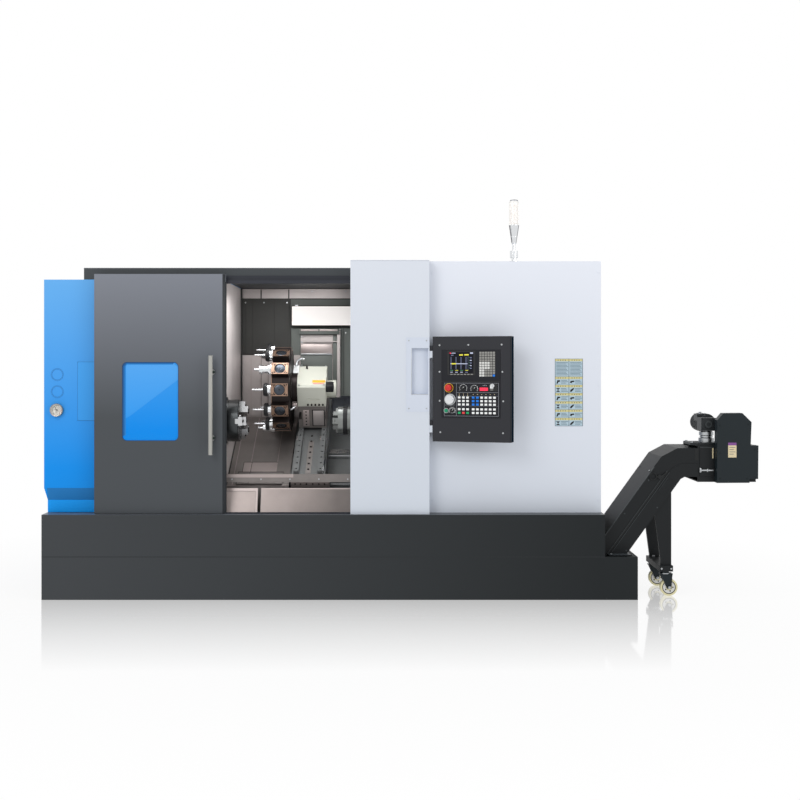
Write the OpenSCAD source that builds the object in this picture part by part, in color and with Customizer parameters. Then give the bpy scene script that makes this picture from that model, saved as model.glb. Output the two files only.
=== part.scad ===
// Slant-bed turning lathe with a power chuck, a twelve-station turret, a second spindle,
// a sliding door, a swing-out control pendant and a chip conveyor.
// Origin: on the floor, under the main spindle's axis, at the middle of the coolant tank.
// +X runs to the conveyor's end, +Y to the back, +Z up. All sizes in millimetres.

/* [Base and tank] */
// Length of the coolant tank
base_len = 3430; // [3300:10:3600]
// Distance from the spindle axis to the front of the base
base_front = 260; // [250:5:300]
// Depth of the base, front to back
base_depth = 1700; // [1650:10:1900]
// Depth of the coolant tank
tank_depth = 640; // [610:10:640]
// Height of the coolant tank
tank_h = 247; // [230:1:260]
// Height of the top of the base skirt
skirt_top = 489; // [480:1:500]
// Length of the base skirt
skirt_len = 3242; // [3242:1:3300]
// Thickness of the sheet steel
sheet = 4; // [3:0.5:5]

/* [Headstock cabinet] */
// How far the cabinet stands out over its toe
cab_over = 17; // [10:1:25]
// Distance from the spindle axis to the cabinet's front
cab_front = 150; // [148:1:155]
// Height of the cabinet's top
cab_top = 1850; // [1830:5:1900]
// Height where the bevel above the toe starts
bevel_low = 562; // [540:2:580]
// Height where the bevel ends
bevel_high = 633; // [600:2:660]
// Place of the wall between the cabinet and the work space
wall_x = -690; // [-694:1:-686]
// Distance from the back of the shell to the back of the base
shell_in = 290; // [200:10:340]

/* [Header and door] */
// Height of the header beam
header_h = 68; // [50:1:90]
// Left end of the header beam
header_x = -1499; // [-1600:1:-1450]
// Left edge of the door, pushed open
door_x = -1420; // [-1425:1:-1410]
// Width of the door
door_w = 756; // [740:1:758]
// Thickness of the door
door_t = 40; // [30:1:45]
// Distance from the spindle axis to the door's front
door_front = 227; // [225:1:235]
// How far the door rises over the cabinet
door_over = 27; // [25:1:40]
// Width of the door's window
window_w = 326; // [250:2:400]
// Height of the door's window
window_h = 456; // [400:2:600]
// Corner radius of the window
window_r = 28; // [10:1:40]
// Length of the door handle
handle_len = 570; // [400:5:650]
// Diameter of the door handle's bar
handle_d = 25; // [18:1:32]

/* [White covers] */
// Left edge of the proud front cover
cover_x = 61; // [60:1:70]
// Width of the proud front cover
cover_w = 456; // [440:1:460]
// Distance from the spindle axis to the front cover's face
cover_front = 237; // [236:1:245]
// Distance from the spindle axis to the right cover's face
right_front = 151; // [150:1:155]
// Right edge of the right cover
right_x = 1521; // [1500:1:1525]
// How far the white covers rise over the cabinet
cover_over = 107; // [95:1:150]

/* [Slant bed] */
// Slant of the bed
slant = 30; // [28:1:30]
// Height of the spindle axis
spindle_z = 1020; // [1010:1:1040]
// Distance from the spindle line down to the ways
bed_drop = 370; // [365:1:380]
// Height of the linear rails
rail_h = 40; // [30:1:45]
// Thickness of the saddle
saddle_t = 100; // [80:1:110]
// Width of the saddle
saddle_w = 200; // [180:1:200]
// Left edge of the saddle
saddle_x = -295; // [-300:1:-290]

/* [Chucks] */
// Diameter of the main chuck
chuck_d = 250; // [200:1:254]
// Length of the main chuck's body
chuck_len = 106; // [96:1:115]
// Place of the main chuck's face
chuck_face = -604; // [-610:1:-600]
// Bore of the main chuck
chuck_bore = 75; // [50:1:80]
// Width of a chuck jaw
jaw_w = 50; // [40:1:56]
// Diameter of the second spindle's chuck
sub_chuck_d = 165; // [130:1:165]
// Place of the second spindle's chuck face
sub_face = -20; // [-20:1:-10]

/* [Turret] */
// Number of tool stations
stations = 12; // [8:2:12]
// Distance from the spindle axis to the turret axis, along the slant
turret_s = 364; // [364:1:368]
// Left face of the turret disc
turret_x = -430; // [-430:1:-425]
// Width of the turret disc
turret_w = 107; // [100:1:108]
// Radius over the turret's station pads
turret_r = 257; // [245:1:257]
// Radius of the tools' circle
tool_r = 242; // [235:1:242]

/* [Pendant] */
// Width of the control pendant
pendant_w = 470; // [460:1:480]
// Depth of the control pendant
pendant_t = 70; // [55:1:74]
// Height of the pendant's lower edge
pendant_z = 910; // [880:5:950]
// Height of the pendant
pendant_h = 605; // [600:5:620]
// How far the pendant is swung out
pendant_swing = 17; // [0:1:17]

/* [Conveyor] */
// Width of the chip conveyor
conveyor_w = 366; // [340:2:370]
// Distance from the spindle axis to the conveyor's front
conveyor_front = 140; // [135:1:145]
// Diameter of a caster wheel
wheel_d = 100; // [80:1:110]

/* [Hidden] */
$fn = 48;
seat = 0.3;
slip = 0.1;
x_left = -base_len / 2;
x_skirt = x_left + skirt_len;
y_front = -base_front;
y_back = y_front + base_depth;
shell_back = y_back - shell_in;
tank_back = y_front + tank_depth;
cab_left = x_left - cab_over;
header_front = cab_front;
gauge_x = cab_left + 77;
gauge_z = 1088;
service_x = cab_left + 198;
blank_z = [1295, 1195];
service_z = 1028;
service_h = 340;
header_z = cab_top + seat;
door_top = cab_top + door_over;
door_z = skirt_top + 3;
door_right = door_x + door_w;
door_back = -door_front + door_t;
rail_top = door_top - 32;
roller_r = 13;
roller_z = rail_top + roller_r + seat;
rail_y = door_back + 7;
window_x = door_x + 161;
window_z = 912;
handle_x = door_right - 77;
handle_mid = 1120;
handle_mount = 190;
cover_right = cover_x + cover_w;
cover_top = cab_top + cover_over;
cover_back = -125;
grip_z = [1181, 1447];
tilt_c = cos(slant);
tilt_s = sin(slant);
ways_h = -bed_drop;
saddle_low = ways_h + rail_h;
saddle_top = saddle_low + saddle_t;
slide_rail = 25;
slide_low = saddle_top + slide_rail;
housing_low = -50;
housing_high = 97;
housing_half = 125;
ways_front = -230;
ways_back = 680;
cover_y = 650;
plate_z = [spindle_z - 42, cab_top - 435];
light_x = [-352, 420];
light_z = [cab_top - 244, cab_top - 119];
panel_gap = 0.5;
bed_left = cab_left + 552;
bed_right = 1480;
spindle_r = 70;
jaw_out = 43;
jaw_angles = [90, 210, 330];
plate_x = turret_x + turret_w;
housing_x = plate_x + 42;
housing_len = 173;
sub_len = 80;
sub_body = 115;
pivot_x = cover_right + 10;
pivot_y = -(cover_front - 6);
panel_face = -2;
panel_depth = 8;
panel_x = 62;
panel_w = 346;
panel_z = 138;
panel_high = 390;
stop_at = [106, 310];
wheel_at = [113, 243];
start_at = [91, 179];
select_at = [126, 179];
feed_at = [191, 308];
speed_at = [256, 305];
key_at = [363, 323];
stem_r = 5;
hinge_z = [70, 500];
knuckle_r = 8;
pin_r = 5;
lamp_x = 1017;
lamp_y = -100;
lamp_base = 216;
run = [[-1400, 104], [1467, 104], [1932, 750], [1991, 781], [2089, 781]];
half = 84;
head_x = 2428;
head_z = [667, 881];
leg_x = 1889;
leg_foot = wheel_d + 45;
caster_y = [-conveyor_front + 20, -conveyor_front + conveyor_w - 20];

// Moves a shape drawn in the slant's own axes (x along the machine, y up the slant, z off it)
module on_slant() {
    translate([0, 0, spindle_z]) rotate([slant, 0, 0]) children();
}

// Box given by its lowest corner and its highest corner
module span(low, high) {
    translate(low) cube(high - low);
}

// Flat outline with round corners, made of squares and circles
module round_rect(w, h, r) {
    translate([r, 0]) square([w - 2 * r, h]);
    translate([0, r]) square([w, h - 2 * r]);
    for (x = [r, w - r], y = [r, h - r]) translate([x, y]) circle(r);
}

// Upright plate that faces the front: an outline in X and Z with a depth in Y
module facing(x, y, z, depth) {
    translate([x, y + depth, z]) rotate([90, 0, 0]) linear_extrude(depth) children();
}

// Cylinder along X
module bar_x(x0, x1, r) {
    translate([x0, 0, 0]) rotate([0, 90, 0]) cylinder(r = r, h = x1 - x0);
}

// Places children on the main spindle's axis
module on_axis() {
    translate([0, 0, spindle_z]) children();
}

module coolant_tank() {
    rim = 24;
    color([0.16, 0.18, 0.19]) {
        difference() {
            span([x_left, y_front, 0], [-x_left, tank_back, tank_h]);
            span([x_left + sheet, y_front + sheet, sheet],
                [-x_left - sheet, tank_back - sheet, tank_h + 1]);
        }
        span([x_skirt + seat, y_front + sheet, tank_h - sheet],
            [-x_left - sheet, y_front + rim, tank_h]);
        span([-x_left - rim, y_front + rim, tank_h - sheet], [-x_left - sheet, tank_back - sheet, tank_h]);
    }
}

module base_skirt() {
    ledge = 108;
    flange = 40;
    low = 60;
    behind = tank_back + 8;
    exit_top = 345;
    color([0.2, 0.22, 0.24]) {
        difference() {
            span([x_left, y_front, tank_h + seat], [x_skirt, y_back, skirt_top]);
            span([x_left + sheet, y_front + sheet, tank_h - 1],
                [x_skirt - sheet, y_back - sheet, skirt_top - sheet]);
            span([x_left + flange, y_front + ledge, tank_h],
                [x_skirt - flange, shell_back - flange, skirt_top + 1]);
            span([x_skirt - sheet - 1, -conveyor_front - 8, tank_h - 1],
                [x_skirt + 1, -conveyor_front + conveyor_w + seat, exit_top]);
        }
        difference() {
            span([x_left, behind, low], [x_skirt, y_back, tank_h + sheet]);
            span([x_left + sheet, behind + sheet, low - 1],
                [x_skirt - sheet, y_back - sheet, tank_h + 2 * sheet]);
            span([x_left + sheet, behind - 1, low - 1], [x_skirt - sheet, behind + 2 * sheet, tank_h + 9]);
        }
    }
}

// Side outline of the bed in Y and Z: the slanted top, the heel and the arch over the tank
function slant_y(s, h) = s * tilt_c - h * tilt_s;
function slant_z(s, h) = spindle_z + s * tilt_s + h * tilt_c;

module bed_casting() {
    foot_z = 60;
    arch_z = 500;
    heel = 980;
    pockets = 4;
    pocket_w = 460;
    pitch = (bed_right - bed_left) / pockets;
    color([0.42, 0.43, 0.44])
        difference() {
            translate([bed_left, 0, 0]) rotate([90, 0, 90]) linear_extrude(bed_right - bed_left)
                polygon([
                    [slant_y(ways_front, ways_h), slant_z(ways_front, ways_h)],
                    [slant_y(ways_back, ways_h), slant_z(ways_back, ways_h)],
                    [heel, slant_z(ways_back, ways_h)],
                    [heel, foot_z],
                    [tank_back + 30, foot_z],
                    [tank_back + 30, arch_z],
                    [120, arch_z],
                    [slant_y(ways_front, ways_h), arch_z + 50]
                ]);
            for (i = [0:pockets - 1]) {
                translate([bed_left + (i + 0.5) * pitch - pocket_w / 2, tank_back, 130])
                    translate([0, heel, 0]) rotate([90, 0, 0]) linear_extrude(heel)
                        round_rect(pocket_w, 330, 60);
            }
            for (i = [0:pockets - 1]) {
                translate([bed_left + (i + 0.5) * pitch - pocket_w / 2, heel - 160, 620])
                    translate([0, 200, 0]) rotate([90, 0, 0]) linear_extrude(200)
                        round_rect(pocket_w, 300, 60);
            }
        }
}

module levelling_feet() {
    foot_z = 60;
    pad_r = 70;
    stud_r = 18;
    color("dimgray")
        for (x = [bed_left + 120, 0, bed_right - 120], y = [tank_back + 110, 900]) {
            translate([x, y, 0]) {
                cylinder(r = pad_r, h = 22);
                cylinder(r = stud_r, h = foot_z - seat);
                translate([0, 0, 34]) cylinder(r = 30, h = 14, $fn = 6);
            }
        }
}

// Outer form of the cabinet cover, drawn in by a margin on every side
module cabinet_form(in, low) {
    intersection() {
        translate([0, shell_back + seat + 1, 0]) rotate([90, 0, 0])
            linear_extrude(shell_back + cab_front + 2)
                polygon([
                    [x_left + in, low], [x_left + in, bevel_low], [cab_left + in, bevel_high],
                    [cab_left + in, cab_top - in], [wall_x, cab_top - in], [wall_x, low]
                ]);
        translate([cab_left - 1, 0, 0]) rotate([90, 0, 90])
            linear_extrude(wall_x - cab_left + 2)
                polygon([
                    [-cab_front + cab_over + in, low], [-cab_front + cab_over + in, bevel_low],
                    [-cab_front + in, bevel_high], [-cab_front + in, cab_top - in],
                    [shell_back - seat, cab_top - in], [shell_back - seat, low]
                ]);
    }
}

module headstock_cover() {
    blank_r = 35;
    feed_r = 62;
    color([0.2, 0.6, 0.95])
        difference() {
            union() {
                difference() {
                    cabinet_form(0, skirt_top + seat);
                    translate([1, 1, 0]) cabinet_form(sheet, skirt_top - 2);
                }
                for (z = blank_z)
                    facing(gauge_x, -cab_front - 2, z, 3) difference() {
                        circle(blank_r);
                        circle(blank_r - 3);
                    }
            }
            translate([gauge_x, -cab_front + sheet + 2, gauge_z]) rotate([90, 0, 0])
                cylinder(r = 30, h = 20);
            on_axis() bar_x(cab_left - 1, cab_left + cab_over + sheet + 1, feed_r);
        }
}

module service_panel() {
    color([0.2, 0.6, 0.95])
        facing(service_x, -cab_front - seat - 3, service_z, 3)
            round_rect(wall_x - 278 - service_x, service_h, 6);
}

module gauge_case() {
    color("silver")
        translate([gauge_x, -cab_front - seat, gauge_z]) rotate([90, 0, 0]) {
            difference() {
                cylinder(r = 37, h = 22);
                translate([0, 0, 8]) cylinder(r = 33, h = 20);
            }
            translate([0, 0, -30]) cylinder(r = 28, h = 30 + slip);
            cylinder(r = 2.5, h = 15);
        }
}

module gauge_needle() {
    color("black")
        translate([gauge_x, -cab_front - seat - 12, gauge_z]) rotate([90, 0, 0])
            difference() {
                union() {
                    cylinder(r = 5, h = 1.6);
                    rotate([0, 0, 120]) translate([-7, -1, 0]) cube([33, 2, 1.6]);
                }
                translate([0, 0, -1]) cylinder(r = 2.5 + slip / 2, h = 4);
            }
}

module roof_header() {
    back = shell_back - seat;
    color([0.22, 0.24, 0.25])
        difference() {
            span([header_x, -header_front, header_z], [cover_x - seat, back, header_z + header_h]);
            span([header_x + sheet, -header_front + sheet, header_z + sheet],
                [cover_x, back - sheet, header_z + header_h - sheet]);
        }
}

module door_rails() {
    rail_t = 10;
    hang = 22;
    color([0.13, 0.14, 0.18]) {
        difference() {
            span([door_x + 2, rail_y, rail_top - 20], [cover_x - seat, -header_front, rail_top]);
            span([door_x, rail_y + rail_t, rail_top - 14], [cover_x, -header_front - 6, rail_top + 1]);
        }
        span([door_x + 2, -header_front - 6, rail_top - 20],
            [cover_x - seat, -header_front - seat, header_z + hang]);
        span([door_x + 2, -door_front + 15, skirt_top], [cover_x - seat, -door_front + 25, skirt_top + 9]);
    }
}

module front_cover() {
    back = cover_back;
    color([0.85, 0.87, 0.91])
        difference() {
            union() {
                difference() {
                    span([cover_x, -cover_front, skirt_top + seat], [cover_right, back, cover_top]);
                    span([cover_x + sheet, -cover_front + sheet, skirt_top - 1],
                        [cover_right - sheet, back + 1, cover_top - sheet]);
                }
                for (z = hinge_z) translate([0, 0, pendant_z + z - 18]) {
                    span([cover_right - 1, pivot_y - 4, 0], [pivot_x, pivot_y + 4, 40]);
                    translate([pivot_x, pivot_y, 0]) cylinder(r = knuckle_r, h = 40);
                }
            }
            translate([pivot_x, pivot_y, pendant_z]) cylinder(r = pin_r + 0.05, h = pendant_h);
            span([cover_right - 105, -cover_front - 1, grip_z[0] - 1],
                [cover_right - sheet - 1, -cover_front + 9, grip_z[1] + 1]);
        }
}

module grip_pocket() {
    plate = 2;
    low = grip_z[0] - 100;
    high = grip_z[1] + 63;
    depth = 26;
    x0 = cover_right - 134;
    in_x = cover_right - 104;
    color([0.78, 0.81, 0.86])
        difference() {
            union() {
                span([x0, -cover_front - plate - seat, low], [cover_right, -cover_front - seat, high]);
                span([in_x, -cover_front - 1, grip_z[0]],
                    [cover_right - sheet - 2, -cover_front + depth, grip_z[1]]);
            }
            span([in_x + 2, -cover_front - 9, grip_z[0] + 2],
                [cover_right - sheet - 4, -cover_front + depth - 2, grip_z[1] - 2]);
        }
}

module right_cover() {
    back = shell_back - seat;
    color([0.85, 0.87, 0.91])
        difference() {
            span([cover_x + seat, -right_front, skirt_top + seat], [right_x, back, cover_top]);
            span([cover_x - 1, -right_front + sheet, skirt_top - 1],
                [right_x - sheet, back + 1, cover_top - sheet]);
            span([cover_x - 1, -right_front - 1, skirt_top - 1],
                [cover_right + seat, cover_back + seat, cover_top + 1]);
        }
}

module rear_cover() {
    doors = [[-1560, 640], [-820, 760], [60, 560]];
    door_low = 560;
    door_h = cab_top - door_low - 110;
    header_top = header_z + header_h;
    color([0.8, 0.82, 0.86])
        difference() {
            union() {
                facing(0, shell_back, 0, sheet) polygon([
                    [cab_left, skirt_top + seat], [right_x, skirt_top + seat], [right_x, cover_top],
                    [cover_x, cover_top], [cover_x, header_top], [header_x, header_top],
                    [header_x, cab_top], [cab_left, cab_top]
                ]);
                for (d = doors)
                    facing(d[0], shell_back + sheet - 0.5, door_low, 6) round_rect(d[1], door_h, 10);
            }
            for (d = doors, i = [0:7])
                facing(d[0] + 60, shell_back - 1, door_low + 80 + i * 36, 20)
                    round_rect(d[1] - 120, 12, 5.9);
        }
}

module left_inner_wall() {
    low = ways_h + 1;
    front = -cab_front + sheet + seat;
    color([0.68, 0.66, 0.65])
        difference() {
            translate([wall_x + seat, 0, 0]) rotate([90, 0, 90]) linear_extrude(sheet)
                polygon([
                    [front, skirt_top + seat], [front, cab_top - sheet], [cover_y + 9, cab_top - sheet],
                    [cover_y + 9, slant_z((cover_y + 9 + low * tilt_s) / tilt_c, low)],
                    [slant_y(ways_front, low) - 1, slant_z(ways_front, low)],
                    [slant_y(ways_front, low) - 1, skirt_top + seat]
                ]);
            on_axis() bar_x(wall_x - 1, wall_x + 9, chuck_d / 2 + 15);
        }
}

module back_wall() {
    left = wall_x + sheet + 2 * seat;
    guard_x = light_x[0] - 10;
    guard_top = cab_top - 70;
    color([0.6, 0.59, 0.58]) {
        span([left, cover_y + 10, plate_z[0] + 172], [bed_right, cover_y + 10 + sheet, cab_top - sheet]);
        span([left, cover_y - 4, plate_z[1] + 7], [guard_x, cover_y + 11, guard_top]);
        for (x = [-560, -380, 500, 900])
            span([x, cover_y + 5, guard_top + 2], [x + 8, cover_y + 11, cab_top - 8]);
    }
}

module work_light() {
    rim = 6;
    color([0.97, 0.96, 0.95])
        difference() {
            span([light_x[0], cover_y - 50, light_z[0]], [light_x[1], cover_y + 10 - seat, light_z[1]]);
            span([light_x[0] + rim, cover_y - 51, light_z[0] + rim],
                [light_x[1] - rim, cover_y - 47, light_z[1] - rim]);
        }
}

module chip_trays() {
    guard_h = saddle_low + 22;
    guard_x = saddle_x - 17;
    left = wall_x + sheet + 2 * seat;
    guard_y = slant_y(ways_front - 6, guard_h);
    apron_y = slant_y(ways_front, ways_h) - seat;
    sill_y = y_front + 108 + seat;
    low = 300;
    sill_low = skirt_top - 3;
    sill_high = spindle_z - 392;
    sill_back = sill_y + 46;
    box_right = wall_x + 204;
    trough_left = box_right + 17;
    beam_z = [spindle_z - 357, spindle_z - 310];
    color([0.5, 0.48, 0.47]) {
        for (x = [[left, box_right], [trough_left, cover_x - seat]])
            translate([x[0], 0, 0]) rotate([90, 0, 90]) linear_extrude(x[1] - x[0])
                polygon([
                    [sill_y, sill_low], [sill_y + sheet, sill_low], [sill_back + sheet, sill_high],
                    [sill_back, sill_high]
                ]);
        span([left, sill_back, beam_z[0]], [right_x - 130, sill_back + 14, beam_z[1]]);
        on_slant() span([left, ways_front - 6, guard_h], [guard_x, 520, guard_h + sheet]);
        on_slant() span([left + 60, ways_front - 6, guard_h + sheet - 1], [guard_x - 40, -120, guard_h + 16]);
        span([left, guard_y - sheet, 470], [guard_x, guard_y, slant_z(ways_front - 6, guard_h) + 2]);
        span([guard_x - sheet, guard_y - sheet, 470], [guard_x, apron_y, 540]);
        span([guard_x - sheet, apron_y - sheet, 470], [bed_right - 10, apron_y, 580]);
        span([left, sill_y, low], [left + sheet, guard_y, 486]);
        span([left, sill_y, low], [right_x - 130, sill_y + sheet, 488]);
    }
}

module headstock_casting() {
    right = -760;
    boss_r = 135;
    base_h = ways_h + seat;
    color([0.4, 0.42, 0.43])
        difference() {
            union() {
                on_axis() bar_x(bed_left, right, boss_r);
                translate([bed_left, 0, 0]) rotate([90, 0, 90]) linear_extrude(right - bed_left)
                    polygon([
                        [slant_y(-150, base_h), slant_z(-150, base_h)],
                        [slant_y(330, base_h), slant_z(330, base_h)],
                        [slant_y(300, -120), slant_z(300, -120)],
                        [slant_y(90, 110), slant_z(90, 110)],
                        [slant_y(-140, -60), slant_z(-140, -60)]
                    ]);
                on_axis() bar_x(right - 1, right + 14, spindle_r + 45);
            }
            on_axis() bar_x(bed_left - 1, right + 15, spindle_r + 0.05);
            for (x = [bed_left + 90, right - 130])
                translate([x, 0, spindle_z]) rotate([slant, 0, 0]) translate([0, 190, 0])
                    cube([50, 80, 300]);
        }
}

module spindle_motor() {
    motor_x = cab_left + 92;
    motor_end = motor_x + 290;
    belt_x = bed_left - 145;
    motor_y = 380;
    motor_z = 666;
    motor_r = 150;
    color([0.25, 0.3, 0.36]) {
        translate([0, motor_y, motor_z]) {
            bar_x(motor_x, motor_end, motor_r);
            bar_x(motor_end, belt_x + 95, 40);
            for (i = [0:4])
                bar_x(belt_x + i * 18, belt_x + 10 + i * 18, 72);
            bar_x(belt_x, belt_x + 82, 66);
        }
        span([motor_x, motor_y - 140, 502], [bed_left - seat, motor_y + 140, 520]);
    }
}

module electrical_cabinet() {
    x0 = 700;
    x1 = 1500;
    y0 = shell_back + sheet + 8;
    y1 = y_back - 40;
    top = 1800;
    color([0.83, 0.85, 0.89])
        difference() {
            union() {
                span([x0, y0, skirt_top + seat], [x1, y1, top]);
                span([x0 + 300, y0 + 40, top - 1], [x0 + 620, y1 - 40, top + 120]);
                for (x = [x0 + 12, (x0 + x1) / 2 + 4])
                    facing(x, y1 - 1, skirt_top + 30, 5)
                        round_rect((x1 - x0) / 2 - 16, top - skirt_top - 60, 8);
            }
            for (x = [x0 + 350, x0 + 434])
                span([x, y1 + 1, 1090], [x + 16, y1 + 9, 1210]);
        }
}

module bed_rails() {
    rail_w = 44;
    pitch = 120;
    low = ways_h + slip;
    high = saddle_low - slip;
    color([0.72, 0.72, 0.72])
        on_slant()
            for (s = [-140, 160, 600])
                difference() {
                    span([-660, s - rail_w / 2, low], [bed_right - 10, s + rail_w / 2, high]);
                    for (side = [-1, 1])
                        translate([0, s + side * rail_w / 2, (low + high) / 2 + 4])
                            span([-661, -5, -5], [bed_right, 5, 5]);
                    for (x = [-620:pitch:bed_right - 60])
                        translate([x, s, high - 9]) cylinder(r = 9, h = 10);
                }
}

// Telescopic cover plate, an upright sheet, one of three that slide over each other
module way_plate(x0, x1, y) {
    span([x0, y, plate_z[0]], [x1, y + 3, plate_z[1]]);
}

module way_cover_fixed() {
    color([0.68, 0.65, 0.65])
        way_plate(wall_x + sheet + 2 * seat, -416, cover_y);
}

module way_cover_middle() {
    color([0.66, 0.63, 0.63])
        way_plate(-625, -355, cover_y - 3 - panel_gap);
}

module way_cover_saddle() {
    y = cover_y - 6 - 2 * panel_gap;
    step_x = saddle_x - 2;
    end_x = -40;
    low = slant_z((y + saddle_top * tilt_s + 12) / tilt_c, saddle_top) + 8;
    high = light_z[0] - 21;
    color([0.5, 0.52, 0.5]) {
        way_plate(-565, step_x, y);
        for (x = [-561:45:-426]) span([x, y - 2, plate_z[0] + 4], [x + 5, y + 1, plate_z[1] - 4]);
        span([step_x - 1, y - 0.5, low], [end_x, y + 2.5, high]);
        span([end_x - 20, y - 30, low + 2], [end_x - 1, y + 1, high - 2]);
        span([step_x + 20, y - 29, high - 85], [end_x - 19, y + 1, high - 79]);
    }
}

module spindle() {
    bore_r = chuck_bore / 2 + 0.5;
    nose = chuck_face - chuck_len - seat;
    tail = bed_left - 380;
    belt_x = bed_left - 150;
    color([0.75, 0.76, 0.78])
        on_axis() difference() {
            union() {
                bar_x(tail + 158, nose, spindle_r);
                bar_x(nose - 20, nose, spindle_r + 25);
                bar_x(tail, tail + 160, 110);
                bar_x(belt_x, belt_x + 105, 110);
                for (i = [0:5]) bar_x(belt_x + i * 18, belt_x + 12 + i * 18, 118);
            }
            bar_x(tail - 1, nose + 1, bore_r);
        }
}

module chuck_body() {
    slot_w = 30 + 2 * slip;
    back = chuck_face - chuck_len;
    edge = 4;
    color([0.6, 0.61, 0.62])
        on_axis() difference() {
            union() {
                bar_x(back, chuck_face - edge, chuck_d / 2);
                translate([chuck_face - edge, 0, 0]) rotate([0, 90, 0])
                    cylinder(r1 = chuck_d / 2, r2 = chuck_d / 2 - edge, h = edge);
            }
            bar_x(back - 1, chuck_face + 1, chuck_bore / 2);
            for (a = jaw_angles) rotate([a, 0, 0]) {
                span([chuck_face - 18 - slip, -slot_w / 2, 40], [chuck_face + 1, slot_w / 2, chuck_d]);
            }
            for (a = jaw_angles, r = [70, 98]) rotate([a + 60, 0, 0])
                translate([chuck_face - 12, 0, r]) rotate([0, 90, 0]) cylinder(r = 8, h = 20);
            translate([back + 40, 0, 0]) rotate([0, 90, 0]) difference() {
                cylinder(r = chuck_d, h = 6);
                translate([0, 0, -1]) cylinder(r = chuck_d / 2 - 3, h = 8);
            }
        }
}

// Chuck jaw at a clock angle: the keyed stem in its slot and the stepped gripping block
module chuck_jaw(angle) {
    color([0.72, 0.73, 0.74])
        on_axis() rotate([angle, 0, 0]) {
            span([chuck_face - 18, -15, 46], [chuck_face + 1, 15, 116]);
            span([chuck_face + slip, -jaw_w / 2, 44], [chuck_face + jaw_out, jaw_w / 2, 84]);
            span([chuck_face + slip, -jaw_w / 2, 84], [chuck_face + 24, jaw_w / 2, 116]);
        }
}

module chuck_jaw_1() { chuck_jaw(jaw_angles[0]); }

module chuck_jaw_2() { chuck_jaw(jaw_angles[1]); }

module chuck_jaw_3() { chuck_jaw(jaw_angles[2]); }

module saddle() {
    rail_w = 30;
    color([0.45, 0.45, 0.44])
        on_slant() difference() {
            union() {
                span([saddle_x, ways_front + 4, saddle_low], [saddle_x + saddle_w, 640, saddle_top]);
                for (x = [saddle_x + 14, saddle_x + saddle_w - 14 - rail_w])
                    span([x, ways_front + 4, saddle_top - 1], [x + rail_w, 590, slide_low]);
            }
            for (x = [saddle_x + 29, saddle_x + saddle_w - 29], s = [-205:60:570])
                translate([x, s, slide_low - 7]) cylinder(r = 6, h = 8);
            span([saddle_x + 60, ways_front, saddle_low + 30],
                [saddle_x + saddle_w - 60, ways_front + 60, saddle_top - 20]);
        }
}

module cross_slide() {
    back = turret_s + 156;
    color([0.55, 0.54, 0.53])
        on_slant() difference() {
            span([housing_x + 1 + seat, turret_s - housing_half, slide_low + slip],
                [housing_x + housing_len - 1 - seat, back, housing_low]);
            for (x = [housing_x - 1, housing_x + housing_len - 20])
                span([x, turret_s - housing_half - 1, slide_low + 60], [x + 21, back + 1, housing_low - 40]);
        }
}

module turret_housing() {
    y0 = turret_s - housing_half;
    y1 = turret_s + housing_half;
    edge = 12;
    color([0.88, 0.88, 0.83])
        on_slant() difference() {
            union() {
                translate([housing_x, 0, 0]) rotate([90, 0, 90]) linear_extrude(housing_len)
                    polygon([
                        [y0, housing_low], [y1, housing_low], [y1, housing_high - edge],
                        [y1 - edge, housing_high], [y0 + edge, housing_high], [y0, housing_high - edge]
                    ]);
                translate([0, turret_s, 0]) bar_x(plate_x + seat, housing_x + 1, 101);
                translate([housing_x + housing_len - 1, turret_s, 0]) bar_x(0, 60, 55);
            }
            translate([0, turret_s, 0]) bar_x(plate_x, plate_x + 122, 40.05);
            for (i = [0:4])
                translate([housing_x + 62 + i * 23, y0 + 12, housing_low + 14]) rotate([90, 0, 0])
                    cylinder(r = 6, h = 14);
            span([housing_x + 60, y0 - 1, housing_low + 46], [housing_x + 134, y0 + 5, housing_low + 54]);
        }
}

module turret_disc() {
    pad_w = 76;
    pad_low = 196;
    pitch = 360 / stations;
    color([0.42, 0.36, 0.33])
        on_slant() translate([0, turret_s, 0]) difference() {
            union() {
                bar_x(turret_x, plate_x, 215);
                bar_x(turret_x - 14, turret_x + 1, 90);
                bar_x(plate_x - 1, plate_x + 120, 40);
                for (i = [0:stations - 1]) rotate([i * pitch, 0, 0])
                    span([turret_x, -pad_w / 2, pad_low], [plate_x - 5, pad_w / 2, turret_r]);
            }
            for (i = [0:stations - 1]) rotate([i * pitch, 0, 0])
                translate([turret_x + 51, 0, turret_r - 8]) cylinder(r = 34, h = 30);
            for (a = [0:60:300]) rotate([a + 15, 0, 0])
                translate([turret_x - 20, 0, 70]) rotate([0, 90, 0]) cylinder(r = 6, h = 14);
        }
}

// One holder with its tool, pointing to the chuck; the kind sets what it carries
module station_tool(kind) {
    flange = 20;
    bar_x(turret_x - flange, turret_x, 30);
    if (kind == 0) {
        bar_x(turret_x - flange - 24, turret_x - flange + 1, 35.5);
        bar_x(turret_x - 113, turret_x - flange - 23, 6);
    }
    if (kind == 1) {
        bar_x(turret_x - flange - 34, turret_x - flange + 1, 22);
        bar_x(turret_x - flange - 52, turret_x - flange - 33, 27);
        bar_x(turret_x - 104, turret_x - flange - 51, 8);
    }
    if (kind == 2) {
        span([turret_x - flange - 30, -28, -24], [turret_x - flange + 1, 28, 24]);
        span([turret_x - 96, -4, -12], [turret_x - flange - 29, 20, 12]);
    }
}

module tool_holders() {
    pitch = 360 / stations;
    kinds = [0, 1, 0, 0, 0, 1, 2, 0, 2, 0, 2, 0];
    color("silver")
        on_slant() translate([0, turret_s, 0])
            for (i = [0:stations - 1]) rotate([i * pitch, 0, 0])
                translate([0, 0, tool_r]) station_tool(kinds[i]);
}

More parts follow.
